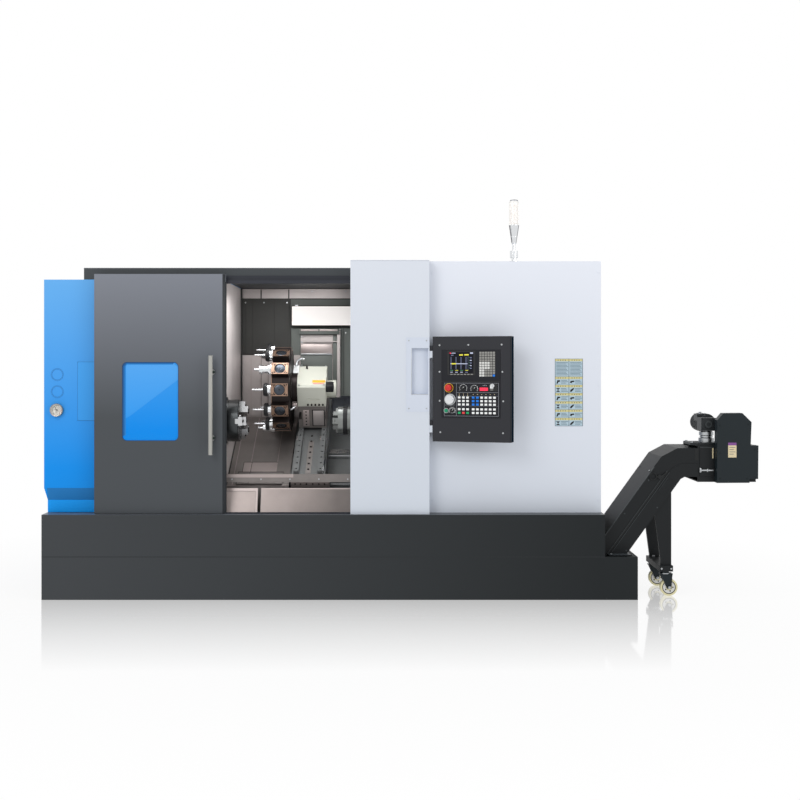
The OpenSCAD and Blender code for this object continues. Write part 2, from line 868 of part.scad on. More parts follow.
module sub_spindle() {
    x0 = sub_face + sub_len + seat;
    foot_x = 300;
    foot_end = 560;
    color([0.42, 0.43, 0.43])
        difference() {
            union() {
                on_axis() bar_x(x0, foot_end, sub_body);
                on_axis() bar_x(foot_end - 1, foot_end + 200, sub_body - 20);
                on_axis() bar_x(x0 + 60, x0 + 100, sub_body + 5);
                on_slant() span([foot_x, -155, saddle_low], [foot_end - 6, 200, -60]);
            }
            on_axis() bar_x(x0 - 1, x0 + 142, 45.05);
            on_slant() for (y = [-156, 140])
                span([foot_x + 30, y, saddle_low + 60], [foot_end - 30, y + 61, -120]);
        }
}

module sub_chuck() {
    color([0.62, 0.63, 0.64])
        on_axis() difference() {
            union() {
                bar_x(sub_face, sub_face + sub_len, sub_chuck_d / 2);
                bar_x(sub_face + sub_len - 1, sub_face + sub_len + 140, 45);
                for (a = jaw_angles) rotate([a, 0, 0]) {
                    span([sub_face - 32, -17, 26], [sub_face + 1, 17, 52]);
                    span([sub_face - 16, -17, 51], [sub_face + 1, 17, 76]);
                }
            }
            bar_x(sub_face - 40, sub_face + sub_len + 141, 22);
        }
}

module door_panel() {
    chamfer = 14;
    skin = sheet;
    rim = 24;
    color([0.4, 0.42, 0.45])
        difference() {
            translate([0, 0, door_z]) linear_extrude(door_top - door_z)
                polygon([
                    [door_x, -door_front], [door_right - chamfer, -door_front],
                    [door_right, -door_front + chamfer], [door_right, door_back], [door_x, door_back]
                ]);
            difference() {
                span([door_x + skin, -door_front + skin, door_z + skin],
                    [door_right - chamfer, door_back + 1, door_top - skin]);
                span([window_x - rim, -door_front, window_z - rim],
                    [window_x + window_w + rim, door_back + 2, window_z + window_h + rim]);
            }
            facing(window_x, -door_front - 1, window_z, door_t + 3) round_rect(window_w, window_h, window_r);
            span([door_x - 1, -door_front + 14, door_z - 1], [door_right + 1, -door_front + 26, door_z + 8]);
        }
}

module door_glass() {
    color([0.6, 0.8, 0.95, 0.4])
        facing(window_x + seat, -door_front + 6, window_z + seat, 6)
            round_rect(window_w - 2 * seat, window_h - 2 * seat, window_r - seat);
}

module door_handle() {
    bar_y = -door_front - 50;
    color("silver") {
        translate([handle_x, bar_y, handle_mid - handle_len / 2]) cylinder(r = handle_d / 2, h = handle_len);
        for (z = [-handle_mount, handle_mount])
            translate([handle_x, -door_front - seat, handle_mid + z]) rotate([90, 0, 0]) {
                cylinder(r = 9, h = 50);
                cylinder(r = 15, h = 6);
            }
    }
}

module door_rollers() {
    axle_len = door_t - sheet + 6 - seat;
    color("silver")
        for (x = [door_x + 120, door_right - 120])
            translate([x, rail_y, roller_z]) rotate([-90, 0, 0]) {
                translate([0, 0, -3.5]) cylinder(r = roller_r + 4, h = 3);
                translate([0, 0, -1]) cylinder(r = roller_r, h = 12);
                translate([0, 0, 10.5]) cylinder(r = roller_r + 4, h = 2.5);
                translate([0, 0, -axle_len - 1]) cylinder(r = 6, h = axle_len);
            }
}

// Puts a shape drawn on the flat pendant where the swung pendant is
module at_pendant() {
    translate([pivot_x, pivot_y, pendant_z]) rotate([0, 0, -pendant_swing]) children();
}

// Places a control on the pendant's panel, turned so that its height stands out of the face
module control(x, z) {
    at_pendant() translate([x, panel_face, z]) rotate([90, 0, 0]) children();
}

module pendant_box() {
    left = knuckle_r + 1;
    shell = 3;
    color([0.22, 0.23, 0.25])
        at_pendant() difference() {
            union() {
                linear_extrude(pendant_h) {
                    translate([left, 0]) square([pendant_w - left - 12, pendant_t]);
                    translate([left, 12]) square([pendant_w - left, pendant_t - 12]);
                    translate([pendant_w - 12, 12]) circle(12);
                }
                for (z = hinge_z) {
                    translate([0, 0, z + 22 + seat]) cylinder(r = knuckle_r, h = 30);
                    translate([0, 0, z - 20]) cylinder(r = pin_r, h = 60);
                    translate([0, 0, z + 22 + seat]) cube([left + 1, knuckle_r, 30]);
                }
            }
            span([left + shell, shell, shell], [pendant_w - shell, pendant_t - shell, pendant_h - shell]);
            span([panel_x - seat, -1, panel_z - seat],
                [panel_x + panel_w + seat, shell + 1, panel_z + panel_high + seat]);
        }
}

// Rows of square keys that stand out of the panel's face
module keys(xs, zs, w, h) {
    for (x = xs, z = zs)
        span([x - w / 2, panel_face - 2, z - h / 2], [x + w / 2, panel_face + 0.5, z + h / 2]);
}

module pendant_panel() {
    holes = [stop_at, wheel_at, start_at, select_at, feed_at, speed_at, key_at];
    color([0.16, 0.17, 0.18])
        at_pendant() difference() {
            union() {
                span([panel_x, panel_face, panel_z], [panel_x + panel_w, panel_depth, panel_z + panel_high]);
                keys([168:24.5:218], [167, 188, 215, 235, 255], 17, 13);
                keys([250:24.8:375], [167, 188, 215, 235, 255], 17, 13);
                keys([293:15.6:375], [381:14.4:512], 12.6, 11.4);
                translate([stop_at[0], panel_face + 1, stop_at[1]]) rotate([90, 0, 0])
                    cylinder(r = 23, h = 4);
            }
            span([111, panel_face - 1, 394], [249, panel_face + 2, 513]);
            for (p = holes)
                translate([p[0], panel_face - 9, p[1]]) rotate([-90, 0, 0])
                    cylinder(r = stem_r + 0.05, h = 30);
        }
}

// Body of revolution for a push button: stem, neck and cap
module button(cap_r, cap_h, lift) {
    translate([0, 0, -panel_depth - 1]) cylinder(r = stem_r, h = panel_depth + 2 + lift);
    translate([0, 0, lift]) cylinder(r = cap_r - 1, h = cap_h);
    translate([0, 0, lift]) cylinder(r = cap_r, h = cap_h - 2);
}

module emergency_stop() {
    color("red")
        control(stop_at[0], stop_at[1]) {
            translate([0, 0, -panel_depth - 1]) cylinder(r = stem_r, h = 24);
            translate([0, 0, 8]) rotate_extrude()
                polygon([[0, 0], [12, 0], [18, 4], [20, 7], [20, 11], [17, 15], [10, 18], [0, 19]]);
        }
}

module start_button() {
    color("seagreen")
        control(start_at[0], start_at[1]) button(11, 6, 4);
}

module handwheel() {
    color("silver")
        control(wheel_at[0], wheel_at[1]) {
            translate([0, 0, -panel_depth - 1]) cylinder(r = stem_r, h = 14);
            translate([0, 0, 1]) difference() {
                cylinder(r = 26, h = 14);
                for (a = [0:15:345]) rotate([0, 0, a]) translate([27.4, 0, -1]) cylinder(r = 2.2, h = 16);
            }
            translate([15, 0, 14]) cylinder(r = 4.5, h = 14);
        }
}

// Turning knob with a pointer bar across its face
module knob(r, h) {
    translate([0, 0, -panel_depth - 1]) cylinder(r = stem_r, h = panel_depth + 4);
    translate([0, 0, 1]) cylinder(r = r, h = h * 0.5);
    translate([-r * 0.28, -r, 1]) cube([r * 0.56, 2 * r, h]);
}

module feed_knob() {
    color([0.1, 0.1, 0.1]) control(feed_at[0], feed_at[1]) rotate([0, 0, -40]) knob(14, 15);
}

module speed_knob() {
    color([0.1, 0.1, 0.1]) control(speed_at[0], speed_at[1]) rotate([0, 0, -40]) knob(13, 15);
}

module selector_switch() {
    color([0.1, 0.1, 0.1]) control(select_at[0], select_at[1]) rotate([0, 0, -45]) knob(12, 14);
}

module key_switch() {
    color("silver")
        control(key_at[0], key_at[1]) {
            translate([0, 0, -panel_depth - 1]) cylinder(r = stem_r, h = panel_depth + 4);
            translate([0, 0, 1]) cylinder(r = 11, h = 6);
            translate([-1.2, -9, 6]) cube([2.4, 18, 22]);
        }
}

module signal_base() {
    color([0.75, 0.75, 0.76])
        translate([lamp_x, lamp_y, cover_top + seat]) rotate_extrude()
            polygon([
                [0, 0], [30, 0], [30, 4], [14, 6], [14, 24], [23.5, 26], [23.5, 64], [10, 67],
                [10, 104], [13, 108], [29.5, lamp_base], [0, lamp_base]
            ]);
}

module signal_lens() {
    color([0.9, 0.92, 0.94, 0.6])
        translate([lamp_x, lamp_y, cover_top + lamp_base + 2 * seat]) rotate_extrude()
            polygon([
                [0, 0], [29.5, 0], [29.5, 126], [28.5, 134], [24, 143], [14, 149], [0, 151]
            ]);
}

function unit(v) = v / norm(v);
function left_of(v) = [-v[1], v[0]];

// Offset of a mitred corner, one unit to the left of the two directions that meet in it
function mitre(a, b) =
    let (m = unit(left_of(a) + left_of(b)))
    m / (m * left_of(a));

// Side of the conveyor's middle line at a distance to its left
function corner(i) =
    mitre(unit(run[max(i, 1)] - run[max(i, 1) - 1]), unit(run[min(i, 3) + 1] - run[min(i, 3)]));
function side_line(d) = [for (i = [0:4]) run[i] + d * corner(i)];
function reversed(list) = [for (i = [len(list) - 1:-1:0]) list[i]];

// Clockwise outline drawn in by a wall on every side
function inset(points, wall) =
    let (n = len(points))
    [for (i = [0:n - 1]) points[i] - wall * mitre(unit(points[i] - points[(i + n - 1) % n]),
        unit(points[(i + 1) % n] - points[i]))];

module conveyor_housing() {
    wall = 6;
    rest_z = run[0][1] - half + 1;
    chute_x = [head_x - 198, head_x - 18];
    skid = concat([for (i = [1:4]) side_line(-half)[i]], [for (i = [4:-1:1]) side_line(-6)[i]]);
    color([0.17, 0.18, 0.19])
        difference() {
            union() {
                facing(0, -conveyor_front, 0, conveyor_w)
                    polygon(concat(side_line(half), reversed(side_line(-half))));
                span([run[4][0] - 1, -conveyor_front, head_z[0]],
                    [head_x, -conveyor_front + conveyor_w, head_z[1]]);
                facing(0, -conveyor_front - 3, 0, 4) polygon(skid);
                for (x = [-1200, 0, 1200])
                    span([x, -conveyor_front + 20, sheet + seat],
                        [x + 60, -conveyor_front + conveyor_w - 20, rest_z]);
            }
            facing(0, -conveyor_front + wall, 0, conveyor_w - 2 * wall)
                polygon(concat(side_line(half - wall), reversed(side_line(-half + wall))));
            span([run[4][0] - 8, -conveyor_front + wall, head_z[0] + wall],
                [head_x - wall, -conveyor_front + conveyor_w - wall, head_z[1] - wall]);
            span([-1380, -conveyor_front + wall, 150], [1340, -conveyor_front + conveyor_w - wall, 200]);
            span([chute_x[0], -conveyor_front + 20, head_z[0] - 17],
                [chute_x[1], -conveyor_front + conveyor_w - 20, head_z[0] + 23]);
        }
}

module drive_guard() {
    depth = 64;
    wall = 3;
    outline = [[0, 364], [34, 404], [145, 405], [198, 353], [193, 218], [238, 217], [236, 23], [186, 23],
        [186, 1], [-2, 0]];
    color([0.16, 0.18, 0.19])
        translate([head_x - 241, 0, head_z[0]]) difference() {
            facing(0, -conveyor_front - seat - depth, 0, depth) polygon(outline);
            facing(0, -conveyor_front - seat - depth + wall, 0, depth) polygon(inset(outline, wall));
        }
}

module gearmotor() {
    base = head_z[1] + seat;
    x = head_x - 266;
    motor_r = 50;
    color([0.25, 0.27, 0.28]) {
        span([x - 112, -120, base], [x + 70, 60, base + 14]);
        translate([x, -44, base + 13]) {
            cylinder(r = 44, h = 24);
            cylinder(r = 32, h = 74);
            translate([0, 0, 42]) cylinder(r = 41, h = 18);
        }
        span([x - 42, -96, base + 82], [x + 44, 8, base + 158]);
        translate([x + 20, 7, base + 122]) rotate([-90, 0, 0]) {
            cylinder(r = motor_r, h = 180);
            for (i = [0:8]) translate([0, 0, 22 + i * 15]) cylinder(r = motor_r + 6, h = 6);
        }
        span([x - 34, 40, base + 132], [x + 14, 120, base + 176]);
    }
}

function under_slope(x) =
    let (m = (run[2][1] - run[1][1]) / (run[2][0] - run[1][0]))
    run[1][1] + (x - run[1][0]) * m - half * sqrt(1 + m * m);

module conveyor_leg() {
    bar_low = leg_foot;
    bar_h = 34;
    color([0.17, 0.19, 0.2])
        difference() {
            union() {
                for (y = [-conveyor_front + 6, -conveyor_front + conveyor_w - 30])
                    facing(0, y, 0, 24) polygon([
                        [leg_x - 50, under_slope(leg_x - 50) - seat],
                        [leg_x + 46, under_slope(leg_x + 46) - seat],
                        [leg_x + 46, bar_low + bar_h - 1], [leg_x - 12, bar_low + bar_h - 1]
                    ]);
                span([leg_x - 26, -conveyor_front - 14, bar_low],
                    [leg_x + 52, -conveyor_front + conveyor_w + 14, bar_low + bar_h]);
            }
            for (y = caster_y)
                translate([leg_x + 10, y, bar_low - 1]) cylinder(r = 8.05, h = 24);
        }
}

// Swivel fork of a caster: top plate, bearing ring, two cheeks and the wheel pin
module caster_fork(y) {
    axle_z = wheel_d / 2 + 0.5;
    trail = 22;
    color("silver")
        translate([leg_x + 10, y, 0]) {
            translate([0, 0, leg_foot - 16]) cylinder(r = 8, h = 36);
            translate([0, 0, leg_foot - 14]) cylinder(r = 26, h = 14 - seat);
            translate([-30, -26, leg_foot - 20]) cube([72, 52, 7]);
            for (side = [-24, 19])
                translate([0, side + 5, 0]) rotate([90, 0, 0]) linear_extrude(5)
                    polygon([
                        [-30, leg_foot - 14], [42, leg_foot - 14], [trail + 12, axle_z - 8],
                        [trail - 12, axle_z - 8]
                    ]);
            translate([trail, 26, axle_z]) rotate([90, 0, 0]) cylinder(r = 6, h = 52);
        }
}

module caster_fork_front() { caster_fork(caster_y[0]); }

module caster_fork_rear() { caster_fork(caster_y[1]); }

module caster_wheel(y) {
    axle_z = wheel_d / 2 + 0.5;
    color([0.9, 0.88, 0.75])
        translate([leg_x + 32, y + 16, axle_z]) rotate([90, 0, 0]) difference() {
            union() {
                cylinder(r = wheel_d / 2, h = 32);
                translate([0, 0, -2]) cylinder(r = 18, h = 36);
            }
            for (z = [-1, 25]) translate([0, 0, z]) difference() {
                cylinder(r = wheel_d / 2 - 10, h = 8);
                translate([0, 0, -1]) cylinder(r = 18, h = 10);
            }
            translate([0, 0, -3]) cylinder(r = 6.05, h = 38);
        }
}

module caster_wheel_front() { caster_wheel(caster_y[0]); }

module caster_wheel_rear() { caster_wheel(caster_y[1]); }

coolant_tank();
base_skirt();
bed_casting();
levelling_feet();
headstock_cover();
service_panel();
gauge_case();
gauge_needle();
roof_header();
door_rails();
front_cover();
grip_pocket();
right_cover();
rear_cover();
left_inner_wall();
back_wall();
work_light();
chip_trays();
headstock_casting();
spindle_motor();
electrical_cabinet();
bed_rails();
way_cover_fixed();
way_cover_middle();
way_cover_saddle();
spindle();
chuck_body();
chuck_jaw_1();
chuck_jaw_2();
chuck_jaw_3();
saddle();
cross_slide();
turret_housing();
turret_disc();
tool_holders();
sub_spindle();
sub_chuck();
door_panel();
door_glass();
door_handle();
door_rollers();
pendant_box();
pendant_panel();
emergency_stop();
handwheel();
feed_knob();
speed_knob();
start_button();
selector_switch();
key_switch();
signal_base();
signal_lens();
conveyor_housing();
drive_guard();
gearmotor();
conveyor_leg();
caster_fork_front();
caster_fork_rear();
caster_wheel_front();
caster_wheel_rear();
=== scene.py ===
"""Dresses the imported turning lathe: finishes, small fittings, camera, light and floor.

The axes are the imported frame's: +X to the conveyor's end, +Y to the back and +Z up, with the origin on
the floor under the main spindle's axis. Fittings are drawn in millimetres and turned to metres when done.
"""

import logging
import math
from dataclasses import dataclass, field
from enum import Enum
from functools import partial

import bmesh
import bpy
from mathutils import Matrix, Vector


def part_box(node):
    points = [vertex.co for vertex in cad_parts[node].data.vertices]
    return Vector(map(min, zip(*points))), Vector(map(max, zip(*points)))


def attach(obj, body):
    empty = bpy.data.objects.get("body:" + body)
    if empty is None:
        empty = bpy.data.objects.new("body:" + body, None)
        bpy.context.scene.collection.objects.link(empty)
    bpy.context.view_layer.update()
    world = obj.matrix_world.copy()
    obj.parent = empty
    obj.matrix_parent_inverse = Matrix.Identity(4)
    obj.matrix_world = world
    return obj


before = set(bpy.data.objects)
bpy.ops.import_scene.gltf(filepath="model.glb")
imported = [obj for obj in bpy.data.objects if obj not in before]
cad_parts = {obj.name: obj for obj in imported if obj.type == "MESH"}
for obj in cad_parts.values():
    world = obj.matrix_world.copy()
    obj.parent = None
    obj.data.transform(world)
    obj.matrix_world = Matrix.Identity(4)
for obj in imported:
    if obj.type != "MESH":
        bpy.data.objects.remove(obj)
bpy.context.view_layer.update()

log = logging.getLogger("lathe")
MM = 0.001
Pair = tuple[float, float]
Point = tuple[float, float, float]

# Directions on the machine, as an axis that a screw or a ring looks along.
RIGHT, LEFT = (1, 0, 0), (-1, 0, 0)
BACK, FRONT = (0, 1, 0), (0, -1, 0)
UP = (0, 0, 1)
# Height of the main spindle's axis, in millimetres, and angle of the bed, in degrees.
AXIS_Z, SLANT = 1020.0, 30.0


class Grain(Enum):
    """How a surface was made, which sets the pattern in its finish."""

    ENAMEL = "sprayed and baked"
    MOULDED = "moulded with a fine spark-eroded grain"
    BRUSHED = "brushed along the machine"
    GROUND = "ground and polished"
    CAST = "cast and painted"
    CLEAR = "clear moulded or float"
    FILMED = "glass behind a tinted film"
    GLOWING = "lit from behind"


class Axis(Enum):
    """World axis that a slow change of colour runs along."""

    X = 0
    Z = 2


class Plane(Enum):
    """Plane of a flat outline, as the order that its two axes and the third one take as X, Y and Z."""

    XZ = (0, 2, 1)
    YZ = (2, 0, 1)
    XY = (0, 1, 2)


@dataclass(frozen=True)
class Shading:
    """Slow change of a finish's colour from one place on the machine to another, which paints light and
    shade.

    Attributes:
        other: sRGB hex colour at the far place.
        axis: axis that the change runs along.
        start: place of the finish's own colour, in metres.
        end: place of the other colour, in metres.
    """

    other: str
    axis: Axis
    start: float
    end: float


@dataclass(frozen=True)
class Finish:
    """One real finish: what it is made of, how it was made and how it looks.

    Attributes:
        name: plain name of the material.
        colour: sRGB hex colour.
        roughness: microfacet roughness.
        grain_mm: size of the pattern's features, coarser than the real ones where those are too fine.
        mottle: how far the colour wanders towards the darker tone, from 0 to 1.
        metallic: 1 for bare metal, 0 for paint and plastic.
        depth: strength of the pattern's relief, from 0 to 1.
        gloss: specular level, lower on dark coats with a matt skin.
        coat: thickness of a clear coat, from 0 to 1.
        glow: strength of its own light.
        shading: slow change of the colour that paints light and shade, if the surface shows one.
        grain: how the surface was made.
    """

    name: str
    colour: str
    roughness: float
    grain_mm: float = 1.0
    mottle: float = 0.12
    metallic: float = 0.0
    depth: float = 0.1
    gloss: float = 0.35
    coat: float = 0.0
    glow: float = 0.0
    shading: Shading | None = None
    grain: Grain = Grain.ENAMEL


def linear(colour: str) -> tuple[float, float, float, float]:
    """Turns an sRGB hex colour into linear RGBA.

    Args:
        colour: six hex digits with a leading hash.

    Returns:
        Linear red, green, blue and an alpha of 1.
    """
    parts = [int(colour[i:i + 2], 16) / 255 for i in (1, 3, 5)]
    flat = [c / 12.92 if c <= 0.04045 else ((c + 0.055) / 1.055) ** 2.4 for c in parts]
    return (flat[0], flat[1], flat[2], 1.0)


def add_node(tree: bpy.types.NodeTree, kind: str, settings: dict, links: dict) -> bpy.types.Node:
    """Adds one shader node with its settings and its incoming links.

    Args:
        tree: node tree that takes the node.
        kind: Blender's name of the node type.
        settings: node properties, or socket values where the name is an input socket.
        links: input socket to output socket.

    Returns:
        The new node.
    """
    node = tree.nodes.new(kind)
    for key, value in settings.items():
        if isinstance(key, str) and hasattr(node, key):
            setattr(node, key, value)
        else:
            node.inputs[key].default_value = value
    for key, output in links.items():
        tree.links.new(output, node.inputs[key])
    return node


def darker(colour: tuple[float, ...], share: float) -> tuple[float, float, float, float]:
    """Scales a linear colour down.

    Args:
        colour: linear RGBA.
        share: how much of it goes, from 0 to 1.

    Returns:
        The darker colour with an alpha of 1.
    """
    return (colour[0] * (1 - share), colour[1] * (1 - share), colour[2] * (1 - share), 1.0)


def span(name: str) -> list[Point]:
    """Measures a solid of the frame.

    Args:
        name: its node.

    Returns:
        Its lowest and its highest corner, in millimetres.
    """
    return [tuple(value / MM for value in corner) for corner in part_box(name)]


def around(count: int, radius: float, start: float = 0.0) -> list[Pair]:
    """Spaces points evenly round a circle.

    Args:
        count: number of points.
        radius: radius of the circle.
        start: angle of the first point, in radians.

    Returns:
        Each point, as its cosine side and its sine side.
    """
    turns = [start + math.tau * n / count for n in range(count)]
    return [(radius * math.cos(turn), radius * math.sin(turn)) for turn in turns]


def spindle_axes(turn: float = 0.0) -> Matrix:
    """Gives axes on the main spindle's centre line.

    Args:
        turn: angle about that line, in degrees; the bed's slant gives the axes of the slides.

    Returns:
        Their place on the machine, in millimetres.
    """
    return Matrix.Translation((0, 0, AXIS_Z)) @ Matrix.Rotation(math.radians(turn), 4, "X")


# A clear coat is polished, and clear acrylic bends light a little less than glass.
COAT_ROUGHNESS, ACRYLIC_IOR = 0.08, 1.45
# Slow wander of a coat's colour, over about a third of a metre.
COAT_MOTTLE = {"Scale": 3.1, "Detail": 5.0, "Roughness": 0.6}
# Stains and wheel marks on bare or cast metal, about a tenth of a metre wide.
BARE_MOTTLE = {"Scale": 9.0, "Detail": 8.0, "Roughness": 0.65}
# Brushing stretches the grain along the machine.
BRUSHING = (0.03, 1.0, 1.0)
# Height of a grain as a share of its width.
RELIEF_SHARE = 0.1


class FinishLibrary:
    """Builds each finish once as a procedural material."""

    def __init__(self) -> None:
        """Starts with no material made."""
        self.made: dict[str, bpy.types.Material] = {}

    def get(self, finish: Finish) -> bpy.types.Material:
        """Looks up the material of a finish, and builds it on first use.

        Args:
            finish: the finish wanted.

        Returns:
            Its material.
        """
        if finish.name not in self.made:
            self.made[finish.name] = self.build(finish)
        return self.made[finish.name]

    def build(self, finish: Finish) -> bpy.types.Material:
        """Builds the node tree of a finish.

        Args:
            finish: the finish to build.

        Returns:
            The finished material.
        """
        material = bpy.data.materials.new(finish.name)
        material.use_nodes = True
        tree = material.node_tree
        shader = tree.nodes["Principled BSDF"]
        values = {"Roughness": finish.roughness, "Metallic": finish.metallic,
                  "Specular IOR Level": finish.gloss, "Coat Weight": finish.coat,
                  "Coat Roughness": COAT_ROUGHNESS}
        if finish.grain is Grain.CLEAR:
            values.update({"Transmission Weight": 1.0, "IOR": ACRYLIC_IOR})
        if finish.glow > 0:
            values.update({"Emission Color": linear(finish.colour), "Emission Strength": finish.glow})
        for socket, value in values.items():
            shader.inputs[socket].default_value = value
        place = add_node(tree, "ShaderNodeTexCoord", {}, {}).outputs["Object"]
        self.colour(tree, shader, finish, place)
        self.relief(tree, shader, finish, place)
        return material

    def colour(self, tree: bpy.types.NodeTree, shader: bpy.types.Node, finish: Finish,
               place: bpy.types.NodeSocket) -> None:
        """Links the colour: the slow change along the machine, which paints light and shade, then a fine
        mottle.

        Args:
            tree: node tree of the material.
            shader: its surface node.
            finish: the finish to show.
            place: coordinates on the machine.
        """
        own = linear(finish.colour)
        bare = finish.grain in (Grain.CAST, Grain.BRUSHED, Grain.GROUND)
        pattern = BARE_MOTTLE if bare else COAT_MOTTLE
        mottle = add_node(tree, "ShaderNodeTexNoise", pattern, {"Vector": place}).outputs["Fac"]
        if finish.shading is None:
            tones = {"data_type": "RGBA", 6: own, 7: darker(own, finish.mottle * 2)}
            base = add_node(tree, "ShaderNodeMix", tones, {0: mottle}).outputs[2]
            tree.links.new(base, shader.inputs["Base Color"])
            return
        slow = finish.shading
        split = add_node(tree, "ShaderNodeSeparateXYZ", {}, {"Vector": place}).outputs[slow.axis.value]
        share = add_node(tree, "ShaderNodeMapRange", {"From Min": slow.start, "From Max": slow.end},
                         {"Value": split}).outputs["Result"]
        run = add_node(tree, "ShaderNodeMix", {"data_type": "RGBA", 6: own, 7: linear(slow.other)},
                       {0: share}).outputs[2]
        ends = {"To Min": 1.0 - finish.mottle, "To Max": 1.0 + finish.mottle}
        shade = add_node(tree, "ShaderNodeMapRange", ends, {"Value": mottle}).outputs["Result"]
        tone = add_node(tree, "ShaderNodeMix", {"data_type": "RGBA", "blend_type": "MULTIPLY", 0: 1.0},
                        {6: run, 7: shade}).outputs[2]
        tree.links.new(tone, shader.inputs["Base Color"])

    def relief(self, tree: bpy.types.NodeTree, shader: bpy.types.Node, finish: Finish,
               place: bpy.types.NodeSocket) -> None:
        """Links the surface relief and the wander of the gloss that go with the grain.

        Args:
            tree: node tree of the material.
            shader: its surface node.
            finish: the finish to show.
            place: coordinates on the machine.
        """
        if finish.grain in (Grain.CLEAR, Grain.FILMED, Grain.GLOWING):
            return
        size = finish.grain_mm * MM
        stretch = BRUSHING if finish.grain is Grain.BRUSHED else (1.0, 1.0, 1.0)
        spread = add_node(tree, "ShaderNodeMapping", {"Scale": stretch}, {"Vector": place}).outputs["Vector"]
        fine = add_node(tree, "ShaderNodeTexNoise", {"Scale": 1.0 / size, "Detail": 3.0},
                        {"Vector": spread}).outputs["Fac"]
        bump = add_node(tree, "ShaderNodeBump", {"Strength": finish.depth, "Distance": size * RELIEF_SHARE},
                        {"Height": fine}).outputs["Normal"]
        tree.links.new(bump, shader.inputs["Normal"])
        gloss = add_node(tree, "ShaderNodeMapRange",
                         {"To Min": finish.roughness * 0.85, "To Max": min(1.0, finish.roughness * 1.25)},
                         {"Value": fine}).outputs["Result"]
        tree.links.new(gloss, shader.inputs["Roughness"])


finishes = FinishLibrary()
# Heights between which the white covers' painted shade changes, in metres.
TOP, FOOT = 1.95, 0.5

# One maker for each way that a surface was made. Orange peel, brushing, wheel marks and moulded grain are
# too fine to show at this distance, so their sizes in millimetres are as coarse as they need to show.
coated = partial(Finish, grain=Grain.ENAMEL)
moulded = partial(Finish, grain=Grain.MOULDED)
brushed = partial(Finish, grain=Grain.BRUSHED)
ground = partial(Finish, grain=Grain.GROUND)
cast = partial(Finish, grain=Grain.CAST)
clear = partial(Finish, grain=Grain.CLEAR)
filmed = partial(Finish, grain=Grain.FILMED)
lit = partial(Finish, grain=Grain.GLOWING)

# Polyester powder coat, baked on sheet steel: a soft sheen with a faint orange peel.
# Blue of the cabinet, paler towards the roof as a painted reflection of the light that is near there.
BLUE_ENAMEL = coated("blue_powder_coat", "#60a8e6", 0.45, 4.0, 0.01, gloss=0.2,
                     shading=Shading("#008ce8", Axis.Z, 1.85, 0.75))
# The screwed panel lies flat to the light, so the same coat is mixed a little deeper as painted shade, and
# darker lower down.
BLUE_PANEL = coated("blue_powder_coat_panel", "#46a0ea", 0.45, 4.0, 0.01, gloss=0.2,
                    shading=Shading("#2c95e8", Axis.Z, 1.4, 0.8))
# Painted shade on the bevel over the foot, which faces the floor: a deeper blue.
BLUE_BEVEL_SHADE = coated("blue_bevel_painted_shade", "#1f78bd", 0.45, 4.0, 0.01, gloss=0.2)
# Painted light on the foot, standing in for light thrown back from the base's ledge: a clear bright blue.
BLUE_FOOT_LIGHT = coated("blue_foot_painted_light", "#0c9cf8", 0.45, 4.0, 0.01, gloss=0.2)
# Slate of the door, with a painted sheen: broad and pale at the top, fading down the panel.
DOOR_ENAMEL = coated("grey_powder_coat", "#787c85", 0.42, 3.0, 0.01, gloss=0.25,
                     shading=Shading("#45494d", Axis.Z, 1.9, 1.05))
# Cool white of the covers, greyer at the foot as painted shade.
WHITE_ENAMEL = coated("white_powder_coat", "#dde1ea", 0.45, 4.0, 0.006,
                      shading=Shading("#d1d7e1", Axis.Z, TOP, FOOT))
# The proud cover stands nearer to the light, so the same white is mixed a little darker as painted shade.
FRONT_ENAMEL = coated("white_powder_coat_front", "#d1d6df", 0.45, 4.0, 0.006,
                      shading=Shading("#cbd2dc", Axis.Z, TOP, FOOT))
# Charcoal of the base: matt, and darkened by painted shade to nearly black towards the conveyor's end.
BASE_ENAMEL = coated("dark_grey_powder_coat", "#3d4043", 0.5, 3.0, 0.01, gloss=0.2,
                     shading=Shading("#191d1f", Axis.X, -1.6, 1.5))
# Slate of the roof header: a flat dark band over the door.
HEADER_ENAMEL = coated("slate_powder_coat", "#404447", 0.45, 3.0, 0.02, gloss=0.2)
# Painted highlight: the base's top edge catches the light as a thin grey line, dimmer towards the conveyor's
# end; the header's edge and the tank's lid take the same grey.
LEDGE_HIGHLIGHT = coated("grey_painted_highlight", "#5b5f67", 0.35, 3.0, 0.02,
                    shading=Shading("#3a3f43", Axis.X, -1.4, 1.2))
# Navy rails of the door: darker than the sheet round them.
RAIL_ENAMEL = coated("navy_powder_coat", "#22252e", 0.5, 3.0, 0.03)
# Black of the conveyor: a weak sheen that lets the folds read.
CONVEYOR_ENAMEL = coated("black_powder_coat", "#15181a", 0.45, 2.5, 0.04, gloss=0.22)
# Edges of the same black, as thin grey lines.
CONVEYOR_EDGE = coated("grey_line_on_black_edge", "#33383a", 0.4, 2.5, 0.04)
# Silver grey of the grip pocket: a little darker than the covers.
POCKET_ENAMEL = coated("silver_grey_powder_coat", "#cbd2df", 0.45, 3.0, 0.01)
# Blue-black of the drive guard: slightly glossier than the trough.
GUARD_ENAMEL = coated("blue_black_powder_coat", "#182024", 0.4, 2.5, 0.03, gloss=0.22)
# Cream stove enamel of the turret's housing: warm and smooth.
CREAM_ENAMEL = coated("cream_stove_enamel", "#bfc0b5", 0.4, 3.0, 0.02)
# Painted shade on the pendant's side: a dark navy strip, matt with no sheen at all.
PENDANT_SIDE_SHADE = coated("navy_black_side_painted_shade", "#101c28", 0.6, 2.0, 0.05, gloss=0.0)
